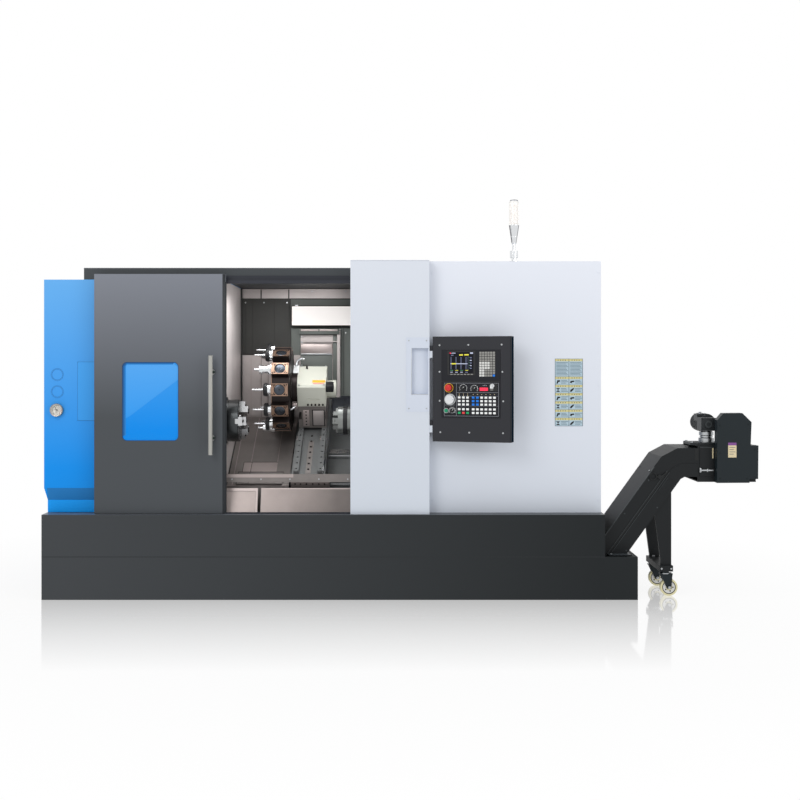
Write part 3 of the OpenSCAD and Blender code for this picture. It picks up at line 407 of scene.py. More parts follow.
# Joints: the coat inside a gap, which lies in its own shade and reads as a thin line.
BLUE_SEAM = coated("blue_shadow_joint", "#2a72ad", 0.5, 2.0, 0.02)
WHITE_SEAM = coated("grey_shadow_joint", "#a9afba", 0.5, 2.0, 0.02)
POCKET_SEAM = coated("slate_shadow_joint", "#8f98a6", 0.5, 2.0, 0.02)
# Joints between oiled sheets, which hold dirt and stay black; the same black lies under the saddle cover's
# cap as painted shade.
SEAM_AND_SHADE_BLACK = coated("black_joint_and_painted_shade", "#2a2928", 0.6, 2.0, 0.05)
# Black of the conveyor's chain slot, darker than its sides; the lifting ring takes the same black.
GROOVE_BLACK = coated("black_slot_and_ring", "#0e1112", 0.6, 2.0, 0.05)

# Stainless and oiled sheet in the work space, brushed along the machine under a soft oil film.
# Clean stainless: streaks of light along the brushing.
SPLASH_STEEL = brushed("brushed_stainless_sheet", "#bfb7b5", 0.38, 1.2, 0.14, 0.6, 0.25)
# The palest sheet, on the wall that faces the lamp.
PALE_STEEL = brushed("pale_stainless_sheet", "#dcd4d2", 0.42, 1.2, 0.08, 0.4, 0.2)
# Darker sheet with blotches of old oil.
OILED_STEEL = brushed("oiled_sheet_steel", "#8c8683", 0.36, 1.5, 0.2, 0.5, 0.25)
# Sill sheet with painted light and shade: bright at the left and dull behind the cover.
SILL_STEEL = brushed("sill_sheet_painted_light_and_shade", "#afa39f", 0.42, 1.5, 0.16, 0.4, 0.25,
                     shading=Shading("#6e6764", Axis.X, -0.55, -0.02))
# Dark sheet high on the rear wall: it takes the light away.
GUARD_STEEL = brushed("dark_rear_wall_sheet", "#3b3b39", 0.5, 1.5, 0.16, 0.3, 0.2)
# Warm bright sheet, laid as painted highlight on bent edges and faces that turn to the lamp.
ROSE_STEEL_HIGHLIGHT = brushed("warm_sheet_painted_highlight", "#b3a7a4", 0.35, 1.2, 0.1, 0.6, 0.2)
# Guards with a thin grey-green coat over the sheet.
GREEN_STEEL = coated("painted_guard_sheet", "#676c68", 0.45, 3.0, 0.1, 0.1, 0.15)
# Brushed bar of the door's handle: one soft highlight along it.
HANDLE_STEEL = brushed("satin_stainless_bar", "#a5a5a0", 0.4, 0.8, 0.04, 0.6, 0.1)

# Cast iron, painted: a coarse skin that scatters the light.
CAST_IRON = cast("painted_cast_iron", "#6c6e6e", 0.55, 5.0, 0.15, 0.2, 0.35)
# Cast aluminium of the motor in grey-black enamel: soft highlights on its fins.
MOTOR_ENAMEL = cast("grey_black_motor_enamel", "#191e21", 0.42, 3.0, 0.1, 0.0, 0.2)
# Black oxide on the turret's casting: nearly black, with a brown tinge.
TURRET_DARK = cast("black_oxide_turret", "#2b2423", 0.4, 2.0, 0.2, 0.6, 0.2)

# Ground and hardened steel: clear reflections with faint wheel marks.
GROUND_STEEL = ground("ground_steel", "#c9cacb", 0.2, 0.8, 0.06, 1.0, 0.08)
# Case-hardened chuck: dark, with a hard narrow highlight.
CHUCK_STEEL = ground("hardened_chuck_steel", "#4d5051", 0.24, 0.8, 0.2, 0.9, 0.12)
# Second chuck, turned and not blackened: a grey satin.
SATIN_CHUCK = ground("satin_chuck_steel", "#8d908e", 0.3, 0.8, 0.2, 0.9, 0.12)
# Mounting faces with a tan oil stain over bare steel.
BRONZE_STEEL = ground("oil_stained_turret_steel", "#a98b78", 0.34, 1.0, 0.25, 0.85, 0.15)
# Plugs in the bores, blued by heat.
PLUG_STEEL = ground("blued_plug", "#4b5058", 0.25, 1.0, 0.2, 0.8, 0.1)
# Zinc plate on screws and brackets: a pale grey satin.
ZINC = ground("zinc_plated_steel", "#b5b8ba", 0.3, 1.0, 0.08, 1.0, 0.1)
# Bright chrome: a mirror of the white room.
CHROME = ground("bright_chrome", "#dfe1e3", 0.12, 1.0, 0.02, 1.0, 0.03)
# Painted reflection on the lamp's chrome: dark streaks and a ring that stand in for the room's dark side.
CHROME_DARK_REFLECTION = ground("chrome_painted_dark_reflection", "#6b696d", 0.3, 1.0, 0.04, 0.8, 0.05)
# Satin nickel of the gauge: warmer than zinc.
GAUGE_NICKEL = ground("satin_nickel_bezel", "#b9aa9a", 0.3, 1.0, 0.1, 1.0, 0.1)

# Moulded ABS, nylon and rubber: an even colour with a fine grain.
BLACK_PLASTIC = moulded("black_moulded_abs", "#17181a", 0.45, 0.8, 0.05)
# Sealing bead of the base's joint: dead matt.
BASE_SEAM = moulded("dark_joint_sealant", "#1d2023", 0.6, 1.0, 0.05)
# Rubber on the door's edge: matt, with a soft grey bloom. The same dark lies on the door's chamfer as
# painted shade.
DOOR_EDGE = moulded("graphite_rubber_and_chamfer_shade", "#24282c", 0.55, 1.0, 0.05)
# Gasket of the window, which takes the pane's blue; the same colour is the deepest band of painted shade on
# the pane's rim.
WINDOW_RIM = moulded("deep_blue_gasket_and_shade", "#164f85", 0.5, 1.0, 0.03)
# Stand-offs of the handle in black with a green cast.
HANDLE_MOUNT = moulded("black_green_handle_mount", "#1f2d2a", 0.4, 1.0, 0.05)
# Structure coat of the pendant's box: the grain breaks up the highlights.
PENDANT_ENAMEL = moulded("charcoal_texture_coat", "#28292e", 0.5, 1.2, 0.05, gloss=0.26)
# Polyester film over the panel: flatter and darker than the box.
PANEL_FILM = moulded("black_polyester_film", "#191a20", 0.4, 0.8, 0.04, gloss=0.2)
# Cap of the emergency stop: glossy, under a clear coat.
RED_PLASTIC = moulded("red_moulded_cap", "#c8201e", 0.3, 0.8, 0.03, coat=0.3)
# Warning ring under the cap: bright, half glossy.
YELLOW_PLASTIC = moulded("yellow_moulded_ring", "#f2b71e", 0.35, 0.8, 0.02)
# Start button: glossy green.
GREEN_PLASTIC = moulded("green_moulded_cap", "#0a8a60", 0.3, 0.8, 0.03)
# Key caps: silicone, half matt, each in one even colour.
WHITE_KEY = moulded("white_moulded_key", "#eceeee", 0.4, 0.8, 0.02)
GREY_KEY = moulded("grey_moulded_key", "#8d8c88", 0.45, 0.8, 0.03)
PALE_KEY = moulded("pale_grey_moulded_key", "#d6d6d3", 0.45, 0.8, 0.03)
BLUE_KEY = moulded("blue_moulded_key", "#0c78de", 0.35, 0.8, 0.03)
RED_KEY = moulded("red_moulded_key", "#e0413f", 0.35, 0.8, 0.03)
GREEN_KEY = moulded("green_moulded_key", "#17a463", 0.35, 0.8, 0.03)
# Polyurethane tread of the casters: cream and waxy.
CREAM_TREAD = moulded("cream_polyurethane_tread", "#ddd6ac", 0.5, 1.0, 0.05)
# Printed inks on film and metal: flat, without a sheen of their own.
LINE_PRINT = moulded("grey_screen_print", "#8f9298", 0.5, 0.8, 0.02)
PLATE_BLUE = moulded("pale_blue_print", "#b0c6d2", 0.5, 2.0, 0.04)
PLATE_YELLOW = moulded("yellow_print", "#d2c98e", 0.5, 2.0, 0.04)
PLATE_INK = moulded("slate_print", "#465864", 0.5, 2.0, 0.02)
PLATE_ORANGE = moulded("orange_print", "#f0a62a", 0.5, 2.0, 0.02)
PLATE_CREAM = moulded("cream_print", "#d8c9a4", 0.5, 2.0, 0.05)
PLATE_PURPLE = moulded("purple_print", "#7c4a8c", 0.5, 2.0, 0.05)
DIAL_WHITE = moulded("white_dial", "#f4f4f2", 0.5, 2.0, 0.02)

# Display glass when nothing is drawn on it: nearly black, with a weak reflection.
SCREEN = lit("dark_display", "#101119", 0.45, mottle=0.02, gloss=0.12)
# Fields of the display, which shine through the glass.
SCREEN_BAR = lit("display_slate", "#6d7592", 0.3, glow=0.4)
SCREEN_WHITE = lit("display_white", "#aab0c6", 0.3, glow=0.5)
SCREEN_YELLOW = lit("display_yellow", "#c9c13a", 0.3, glow=0.7)
SCREEN_GREEN = lit("display_green", "#3f7c5c", 0.3, glow=0.5)
SCREEN_RED = lit("display_red", "#ef2a4b", 0.3, glow=0.8)
# Opal acrylic in front of the lamps: white all through, with no highlight.
LAMP_CORE = lit("opal_lamp_core", "#f3f0ef", 0.4, glow=0.35)
LAMP_OPAL = lit("opal_diffuser", "#efebe8", 0.6, glow=0.4)
# Safety glass with a blue film: deep blue, paler at the top as a painted reflection.
WINDOW_GLASS = filmed("blue_filmed_safety_glass", "#3a98e7", 0.2, mottle=0.01, gloss=0.12, coat=0.1,
                      shading=Shading("#0088e6", Axis.Z, 1.34, 0.98))
# Slanting sheen of a softbox across the same glass.
PANE_SHEEN = filmed("blue_film_sheen", "#52a3eb", 0.2, mottle=0.01, gloss=0.12, coat=0.1,
                    shading=Shading("#2894ea", Axis.Z, 1.36, 0.98))
# The cut-out's shade on the pane's rim: deep at the gasket, lighter further in.
WINDOW_SHADE = filmed("shaded_blue_film", "#1c68ab", 0.3, mottle=0.01, gloss=0.2)
WINDOW_DUSK = filmed("dusky_blue_film", "#247fcc", 0.3, mottle=0.01, gloss=0.2)
# Clear acrylic of the signal lamp and of the gauges: polished, slightly warm.
LENS = clear("clear_acrylic_lens", "#fbf9f5", 0.12, mottle=0.0)


# Points nearer than this are one, in millimetres.
WELD = 1e-5
# An edge that turns by more than SHARP is rounded by a bevel; one over CREASE shades as an edge. Radians.
SHARP, CREASE = 0.6, math.radians(38)


class Shape:
    """One visual piece: solids gathered in millimetres, then handed to a body of the frame."""

    def __init__(self, place: Matrix | None = None) -> None:
        """Starts an empty piece.

        Args:
            place: where its own axes stand on the machine, in millimetres.
        """
        self.mesh = bmesh.new()
        self.place = place or Matrix.Identity(4)
        self.finishes: list[Finish] = []

    def _take(self, part: bmesh.types.BMesh, finish: Finish, bevel: float, smooth: bool) -> None:
        """Adds a closed solid to the piece.

        Args:
            part: the solid, freed here.
            finish: finish of all its faces.
            bevel: width of its rounded edges, in millimetres.
            smooth: whether its faces shade as one curved skin.
        """
        if bevel > 0:
            sharp = [e for e in part.edges if e.calc_face_angle(0.0) > SHARP]
            bmesh.ops.bevel(part, geom=sharp, offset=bevel, segments=2, profile=0.5, affect="EDGES")
        if finish not in self.finishes:
            self.finishes.append(finish)
        index = self.finishes.index(finish)
        bmesh.ops.recalc_face_normals(part, faces=part.faces)
        table = [self.mesh.verts.new(self.place @ v.co) for v in part.verts]
        for number, vert in enumerate(part.verts):
            vert.index = number
        for face in part.faces:
            new = self.mesh.faces.new([table[v.index] for v in face.verts])
            new.material_index = index
            new.smooth = smooth
        part.free()

    def block(self, low: Point, high: Point, finish: Finish, bevel: float = 0.0) -> None:
        """Adds a box.

        Args:
            low: its lowest corner.
            high: its highest corner.
            finish: finish of all its faces.
            bevel: width of its rounded edges.
        """
        part = bmesh.new()
        middle = (Vector(low) + Vector(high)) / 2
        size = Vector(high) - Vector(low)
        place = Matrix.Translation(middle) @ Matrix.Diagonal((*size, 1.0))
        bmesh.ops.create_cube(part, size=1.0, matrix=place)
        self._take(part, finish, bevel, False)

    def turned(self, base: Point, axis: Point, profile: list[Pair], finish: Finish,
               sides: int = 32, flat: bool = False) -> None:
        """Adds a turned form.

        Args:
            base: start of its axis.
            axis: direction of its axis.
            profile: radius and height of each point, from end to end; a closed one ends where it starts.
            finish: finish of all its faces.
            sides: number of facets round the axis.
            flat: True where the facets stay sharp, as on a nut.
        """
        part = bmesh.new()
        turn = Vector(axis).to_track_quat("Z", "Y").to_matrix().to_4x4()
        place = Matrix.Translation(base) @ turn
        rings = []
        for radius, height in profile:
            points = around(sides, radius) if radius > 0 else [(0.0, 0.0)]
            rings.append([part.verts.new(place @ Vector((a, b, height))) for a, b in points])
        for low, high in zip(rings, rings[1:]):
            for i in range(sides):
                j = i + 1
                corners = [low[i % len(low)], low[j % len(low)], high[j % len(high)], high[i % len(high)]]
                corners = [c for n, c in enumerate(corners) if c not in corners[:n]]
                if len(corners) > 2:
                    part.faces.new(corners)
        closed = profile[0] == profile[-1]
        for ring in (rings[0], rings[-1]):
            if len(ring) > 1 and not closed:
                part.faces.new(ring)
        if closed:
            bmesh.ops.remove_doubles(part, verts=part.verts, dist=WELD)
        self._take(part, finish, 0.0, not flat)

    def disc(self, base: Point, axis: Point, radius: float, height: float, finish: Finish,
             sides: int = 32, edge: float = 0.0, flat: bool = False) -> None:
        """Adds a cylinder.

        Args:
            base: middle of its foot.
            axis: direction that it stands along.
            radius: its radius.
            height: its height.
            finish: finish of all its faces.
            sides: number of facets round it.
            edge: width of the chamfer on both rims.
            flat: True where the facets stay sharp, as on a nut.
        """
        profile = [(radius - edge, 0.0), (radius, edge), (radius, height - edge), (radius - edge, height)]
        if edge == 0.0:
            profile = [(radius, 0.0), (radius, height)]
        self.turned(base, axis, profile, finish, sides, flat)

    def ring(self, base: Point, axis: Point, inner: float, outer: float, height: float, finish: Finish,
             sides: int = 40) -> None:
        """Adds a flat ring.

        Args:
            base: middle of its foot.
            axis: direction that it stands along.
            inner: radius of its hole.
            outer: its own radius.
            height: its thickness.
            finish: finish of all its faces.
            sides: number of facets round it.
        """
        profile = [(inner, 0.0), (outer, 0.0), (outer, height), (inner, height), (inner, 0.0)]
        self.turned(base, axis, profile, finish, sides)

    def prism(self, outline: list[Pair], plane: Plane, low: float, high: float, finish: Finish) -> None:
        """Adds a flat outline drawn out along the axis that its plane leaves.

        Args:
            outline: corners in order.
            plane: plane that the outline lies in.
            low: first end along the axis left over.
            high: second end.
            finish: finish of all its faces.
        """
        part = bmesh.new()
        order = plane.value
        ends = [[part.verts.new([(a, b, c)[n] for n in order]) for a, b in outline] for c in (low, high)]
        part.faces.new(ends[0])
        part.faces.new(ends[1])
        for i in range(len(outline)):
            j = (i + 1) % len(outline)
            part.faces.new([ends[0][i], ends[0][j], ends[1][j], ends[1][i]])
        self._take(part, finish, 0.0, False)

    def hose(self, points: list[Point], radius: float, finish: Finish, sides: int = 12,
             steps: int = 6) -> None:
        """Adds a round hose or rod along a smooth path through its points.

        Args:
            points: places that the path passes.
            radius: outer radius.
            finish: finish of all its faces.
            sides: number of facets round it.
            steps: stretches between two points; 1 keeps the corners.
        """
        path = [Vector(p) for p in points]
        route = []
        for i in range(len(path) - 1):
            a, b, c, d = path[max(i - 1, 0)], path[i], path[i + 1], path[min(i + 2, len(path) - 1)]
            for n in range(steps):
                t = n / steps
                route.append(0.5 * ((2 * b) + (c - a) * t + (2 * a - 5 * b + 4 * c - d) * t * t
                                    + (3 * b - a - 3 * c + d) * t ** 3) if steps > 1 else b)
        route.append(path[-1])
        part = bmesh.new()
        rings = []
        side = (route[1] - route[0]).normalized().orthogonal().normalized()
        for i, spot in enumerate(route):
            ahead = (route[min(i + 1, len(route) - 1)] - route[max(i - 1, 0)]).normalized()
            side = (side - ahead * side.dot(ahead)).normalized()
            other = ahead.cross(side)
            rings.append([part.verts.new(spot + side * a + other * b) for a, b in around(sides, radius)])
        for low, high in zip(rings, rings[1:]):
            for n in range(sides):
                part.faces.new([low[n], low[(n + 1) % sides], high[(n + 1) % sides], high[n]])
        part.faces.new(rings[0])
        part.faces.new(rings[-1])
        self._take(part, finish, 0.0, True)

    def bolt(self, base: Point, axis: Point, radius: float, finish: Finish, socket: bool = True) -> None:
        """Adds a screw head.

        Args:
            base: middle of its foot.
            axis: direction that it looks along.
            radius: radius of the head.
            finish: finish of all its faces.
            socket: True for a round head with a recess, False for a six-sided head.
        """
        if not socket:
            self.disc(base, axis, radius, radius * 0.7, finish, 6, radius * 0.08, True)
            return
        rise = radius * 0.6
        profile = [(radius, 0.0), (radius, rise * 0.8), (radius * 0.88, rise), (radius * 0.5, rise),
                   (radius * 0.5, rise * 0.35), (0.0, rise * 0.35)]
        self.turned(base, axis, profile, finish, 12)

    def tick(self, centre: Point, turn: float, near: float, far: float, radius: float, finish: Finish,
             sides: int) -> None:
        """Adds a straight mark that points away from a centre, in the plane of X and Z.

        Args:
            centre: middle of its scale.
            turn: its angle, in radians.
            near: distance of its first end.
            far: distance of its second end.
            radius: its own radius.
            finish: finish of all its faces.
            sides: number of facets round it.
        """
        x, y, z = centre
        route = [(x + r * math.cos(turn), y, z + r * math.sin(turn)) for r in (near, far)]
        self.hose(route, radius, finish, sides, 1)

    def done(self, name: str, slot: str, body: str = "machine") -> None:
        """Turns the gathered solids into a piece that rides on a body.

        Args:
            name: plain name of the piece.
            slot: material slot of the record; not used.
            body: body that carries it.
        """
        bmesh.ops.scale(self.mesh, vec=(MM, MM, MM), verts=self.mesh.verts)
        mesh = bpy.data.meshes.new(name)
        self.mesh.to_mesh(mesh)
        self.mesh.free()
        for finish in self.finishes:
            mesh.materials.append(finishes.get(finish))
        piece = bpy.data.objects.new(name, mesh)
        bpy.context.scene.collection.objects.link(piece)
        if any(polygon.use_smooth for polygon in mesh.polygons):
            mesh.set_sharp_from_angle(angle=CREASE)
        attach(piece, body)
        log.info("%s rides on %s", name, body)


# Width of the camera's sensor, in millimetres.
SENSOR = 36.0


@dataclass
class Studio:
    """Camera, lamps, pale floor and white surround of the picture.

    Attributes:
        eye: place of the camera, in metres.
        lens: focal length, in millimetres.
        rise: vertical shift of the frame, as a share of its width.
        world_level: strength of the plain surround as the object sees it.
        floor_half: half the width of the floor, in metres.
        floor_fade: distances between which the floor pales to white, in metres.
        image_reach: distances in Y from image_middle where the floor's image of the base starts and is full.
        image_middle: middle of the machine's image on the floor, in Y.
        lamps: name, place, aim, size in metres and power in watts of each softbox.
    """

    eye: Point = (0.347, -7.26, 1.351)
    lens: float = 54.78
    rise: float = -0.04375
    world_level: float = 0.52
    floor_half: float = 60.0
    floor_fade: Pair = (1.9, 3.6)
    image_reach: Pair = (2.7, 1.06)
    image_middle: float = 0.8
    lamps: tuple[tuple[str, Point, Point, float, float], ...] = (
        ("key_softbox", (-3.0, -5.5, 4.4), (0.0, 0.0, 1.0), 3.2, 130.0),
        ("side_softbox", (4.6, -4.2, 3.4), (0.6, 0.0, 1.2), 2.6, 60.0),
        ("top_softbox", (0.0, -0.2, 5.2), (0.0, 0.3, 0.0), 3.6, 60.0),
        ("work_space_lamp", (-0.42, 0.02, 1.79), (-0.36, 0.12, 0.7), 0.3, 3.6),
        ("left_wall_lamp", (-0.1, 0.0, 1.74), (-0.69, 0.2, 1.2), 0.3, 2.2),
        ("sill_lamp", (0.3, -0.02, 1.2), (-0.5, 0.1, 0.6), 0.35, 2.2))

    def camera(self) -> None:
        """Stands the camera square to the machine's front, level with the chart."""
        data = bpy.data.cameras.new("front_camera")
        data.lens = self.lens
        data.sensor_width = SENSOR
        data.shift_y = self.rise
        camera = bpy.data.objects.new("front_camera", data)
        camera.location = self.eye
        camera.rotation_euler = (math.radians(90), 0.0, 0.0)
        bpy.context.scene.collection.objects.link(camera)
        bpy.context.scene.camera = camera

    def lamp(self, name: str, place: Point, aim: Point, size: float, power: float) -> None:
        """Hangs one square softbox.

        Args:
            name: plain name of the lamp.
            place: its middle, in metres.
            aim: point that it faces.
            size: length of its side, in metres.
            power: output in watts.
        """
        data = bpy.data.lights.new(name, "AREA")
        data.size = size
        data.energy = power
        lamp = bpy.data.objects.new(name, data)
        lamp.location = place
        lamp.rotation_euler = (Vector(aim) - Vector(place)).to_track_quat("-Z", "Y").to_euler()
        lamp.visible_camera = False
        bpy.context.scene.collection.objects.link(lamp)

    def surround(self) -> None:
        """Gives an even surround that shows white to the eye, in mirrors and through glass."""
        world = bpy.data.worlds.new("studio_surround")
        bpy.context.scene.world = world
        world.use_nodes = True
        tree = world.node_tree
        tree.nodes.clear()
        ray = add_node(tree, "ShaderNodeLightPath", {}, {})
        seen = add_node(tree, "ShaderNodeMath", {"operation": "MAXIMUM"},
                        {0: ray.outputs["Is Camera Ray"], 1: ray.outputs["Is Transmission Ray"]})
        shown = add_node(tree, "ShaderNodeMath", {"operation": "MAXIMUM"},
                         {0: seen.outputs[0], 1: ray.outputs["Is Glossy Ray"]})
        level = add_node(tree, "ShaderNodeMapRange", {"To Min": self.world_level, "To Max": 1.0},
                         {"Value": shown.outputs[0]})
        light = add_node(tree, "ShaderNodeBackground", {"Color": linear("#ffffff")},
                         {"Strength": level.outputs["Result"]})
        add_node(tree, "ShaderNodeOutputWorld", {}, {"Surface": light.outputs[0]})

    def floor(self) -> None:
        """Lays the pale floor, which keeps the machine's shadow and a faint image of its foot."""
        mesh = bpy.data.meshes.new("studio_floor")
        half = self.floor_half
        corners = [(-half, -half, 0), (half, -half, 0), (half, half, 0), (-half, half, 0)]
        mesh.from_pydata(corners, [], [(0, 1, 2, 3)])
        floor = bpy.data.objects.new("studio_floor", mesh)
        bpy.context.scene.collection.objects.link(floor)
        mesh.materials.append(self.floor_paint())

    def floor_paint(self) -> bpy.types.Material:
        """Mixes a matt paint that pales with distance and mirrors the base to the eye alone.

        Returns:
            The floor's material.
        """
        material = bpy.data.materials.new("painted_studio_floor")
        material.use_nodes = True
        tree = material.node_tree
        tree.nodes.clear()
        shade = add_node(tree, "ShaderNodeBsdfDiffuse", {"Color": linear("#f4f4f4")}, {})
        white = add_node(tree, "ShaderNodeEmission", {"Color": linear("#ffffff"), "Strength": 1.0}, {})
        place = add_node(tree, "ShaderNodeTexCoord", {}, {}).outputs["Object"]
        away = add_node(tree, "ShaderNodeVectorMath", {"operation": "LENGTH"}, {0: place})
        fade = {"From Min": self.floor_fade[0], "From Max": self.floor_fade[1], "To Min": 0.82}
        paleness = add_node(tree, "ShaderNodeMapRange", fade, {"Value": away.outputs["Value"]})
        matt = add_node(tree, "ShaderNodeMixShader", {}, {0: paleness.outputs["Result"], 1: shade.outputs[0],
                                                          2: white.outputs[0]})
        image = add_node(tree, "ShaderNodeBsdfGlossy", {"Color": linear("#ffffff"), "Roughness": 0.06}, {})
        ray = add_node(tree, "ShaderNodeLightPath", {}, {})
        depth = add_node(tree, "ShaderNodeSeparateXYZ", {}, {"Vector": place})
        behind = add_node(tree, "ShaderNodeMath", {"operation": "SUBTRACT", 1: self.image_middle},
                          {0: depth.outputs["Y"]})
        off = add_node(tree, "ShaderNodeMath", {"operation": "ABSOLUTE"}, {0: behind.outputs[0]})
        reach = {"From Min": self.image_reach[0], "From Max": self.image_reach[1], "To Max": 0.46}
        near = add_node(tree, "ShaderNodeMapRange", reach, {"Value": off.outputs[0]})
        share = add_node(tree, "ShaderNodeMath", {"operation": "MULTIPLY"},
                         {0: ray.outputs["Is Camera Ray"], 1: near.outputs["Result"]})
        both = add_node(tree, "ShaderNodeMixShader", {}, {0: share.outputs[0], 1: matt.outputs[0],
                                                          2: image.outputs[0]})
        add_node(tree, "ShaderNodeOutputMaterial", {}, {"Surface": both.outputs[0]})
        return material

    def build(self) -> None:
        """Sets up the whole picture."""
        self.camera()
        self.surround()
        self.floor()
        for row in self.lamps:
            self.lamp(*row)
        bpy.context.scene.view_settings.view_transform = "Standard"


@dataclass
class FrameFinishes:
    """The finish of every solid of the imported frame.

    Attributes:
        worn_by: the nodes that each finish covers.
    """

    worn_by: dict[Finish, tuple[str, ...]] = field(default_factory=lambda: {
        BASE_ENAMEL: ("coolant_tank", "base_skirt"), BLUE_ENAMEL: ("headstock_cover",),
        BLUE_PANEL: ("service_panel",), HEADER_ENAMEL: ("roof_header",), RAIL_ENAMEL: ("door_rails",),
        FRONT_ENAMEL: ("front_cover",), POCKET_ENAMEL: ("grip_pocket",), DOOR_ENAMEL: ("door_panel",),
        WHITE_ENAMEL: ("right_cover", "rear_cover", "electrical_cabinet"), CREAM_ENAMEL: ("turret_housing",),
        PENDANT_ENAMEL: ("pendant_box",), MOTOR_ENAMEL: ("gearmotor",),
        CONVEYOR_ENAMEL: ("spindle_motor", "conveyor_housing", "conveyor_leg"),
        GUARD_ENAMEL: ("drive_guard", "caster_fork_front", "caster_fork_rear"),
        CAST_IRON: ("bed_casting", "headstock_casting", "saddle", "sub_spindle"),
        TURRET_DARK: ("turret_disc",), PALE_STEEL: ("left_inner_wall",), GUARD_STEEL: ("back_wall",),
        OILED_STEEL: ("chip_trays", "cross_slide"),
        SPLASH_STEEL: ("way_cover_fixed", "way_cover_middle", "way_cover_saddle"),
        HANDLE_STEEL: ("door_handle",), CHUCK_STEEL: ("chuck_body",), SATIN_CHUCK: ("sub_chuck",),
        GROUND_STEEL: ("bed_rails", "spindle", "chuck_jaw_1", "chuck_jaw_2", "chuck_jaw_3"),
        CHROME: ("gauge_case", "tool_holders", "handwheel", "key_switch", "signal_base"),
        ZINC: ("levelling_feet", "door_rollers"), RED_PLASTIC: ("emergency_stop",),
        BLACK_PLASTIC: ("gauge_needle", "feed_knob", "speed_knob", "selector_switch"),
        GREEN_PLASTIC: ("start_button",), PANEL_FILM: ("pendant_panel",),
        CREAM_TREAD: ("caster_wheel_front", "caster_wheel_rear"), WINDOW_GLASS: ("door_glass",),
        LAMP_OPAL: ("work_light",), LENS: ("signal_lens",),
    })

    def build(self) -> None:
        """Gives each solid of the frame its own finish."""
        for finish, names in self.worn_by.items():
            for name in names:
                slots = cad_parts[name].data.materials
                slots.clear()
                slots.append(finishes.get(finish))
                log.info("%s is in %s", name, finish.name)


# Depth of the pendant's panel in its own axes, in millimetres.
PANEL_FACE = -2.0


class PanelShape(Shape):
    """A piece of the pendant, which has thin plates on the panel."""

    def plate(self, low: Pair, high: Pair, finish: Finish, lift: float = 0.0, thick: float = 0.5) -> None:
        """Lays a thin plate on the panel.

        Args:
            low: its lower left corner.
            high: its upper right corner.
            finish: its finish.
            lift: height of its back over the panel's face.
            thick: its thickness.
        """
        front = PANEL_FACE - lift
        self.block((low[0], front - thick, low[1]), (high[0], front + 0.2, high[1]), finish)

    def frame_line(self, low: Pair, high: Pair, width: float) -> None:
        """Prints the outline of a field on the panel.

        Args:
            low: its lower left corner.
            high: its upper right corner.
            width: width of its line.
        """
        for start, end in ((low, (high[0], low[1] + width)), ((low[0], high[1] - width), high),
                           (low, (low[0] + width, high[1])), ((high[0] - width, low[1]), high)):
            self.plate(start, end, LINE_PRINT, thick=0.3)


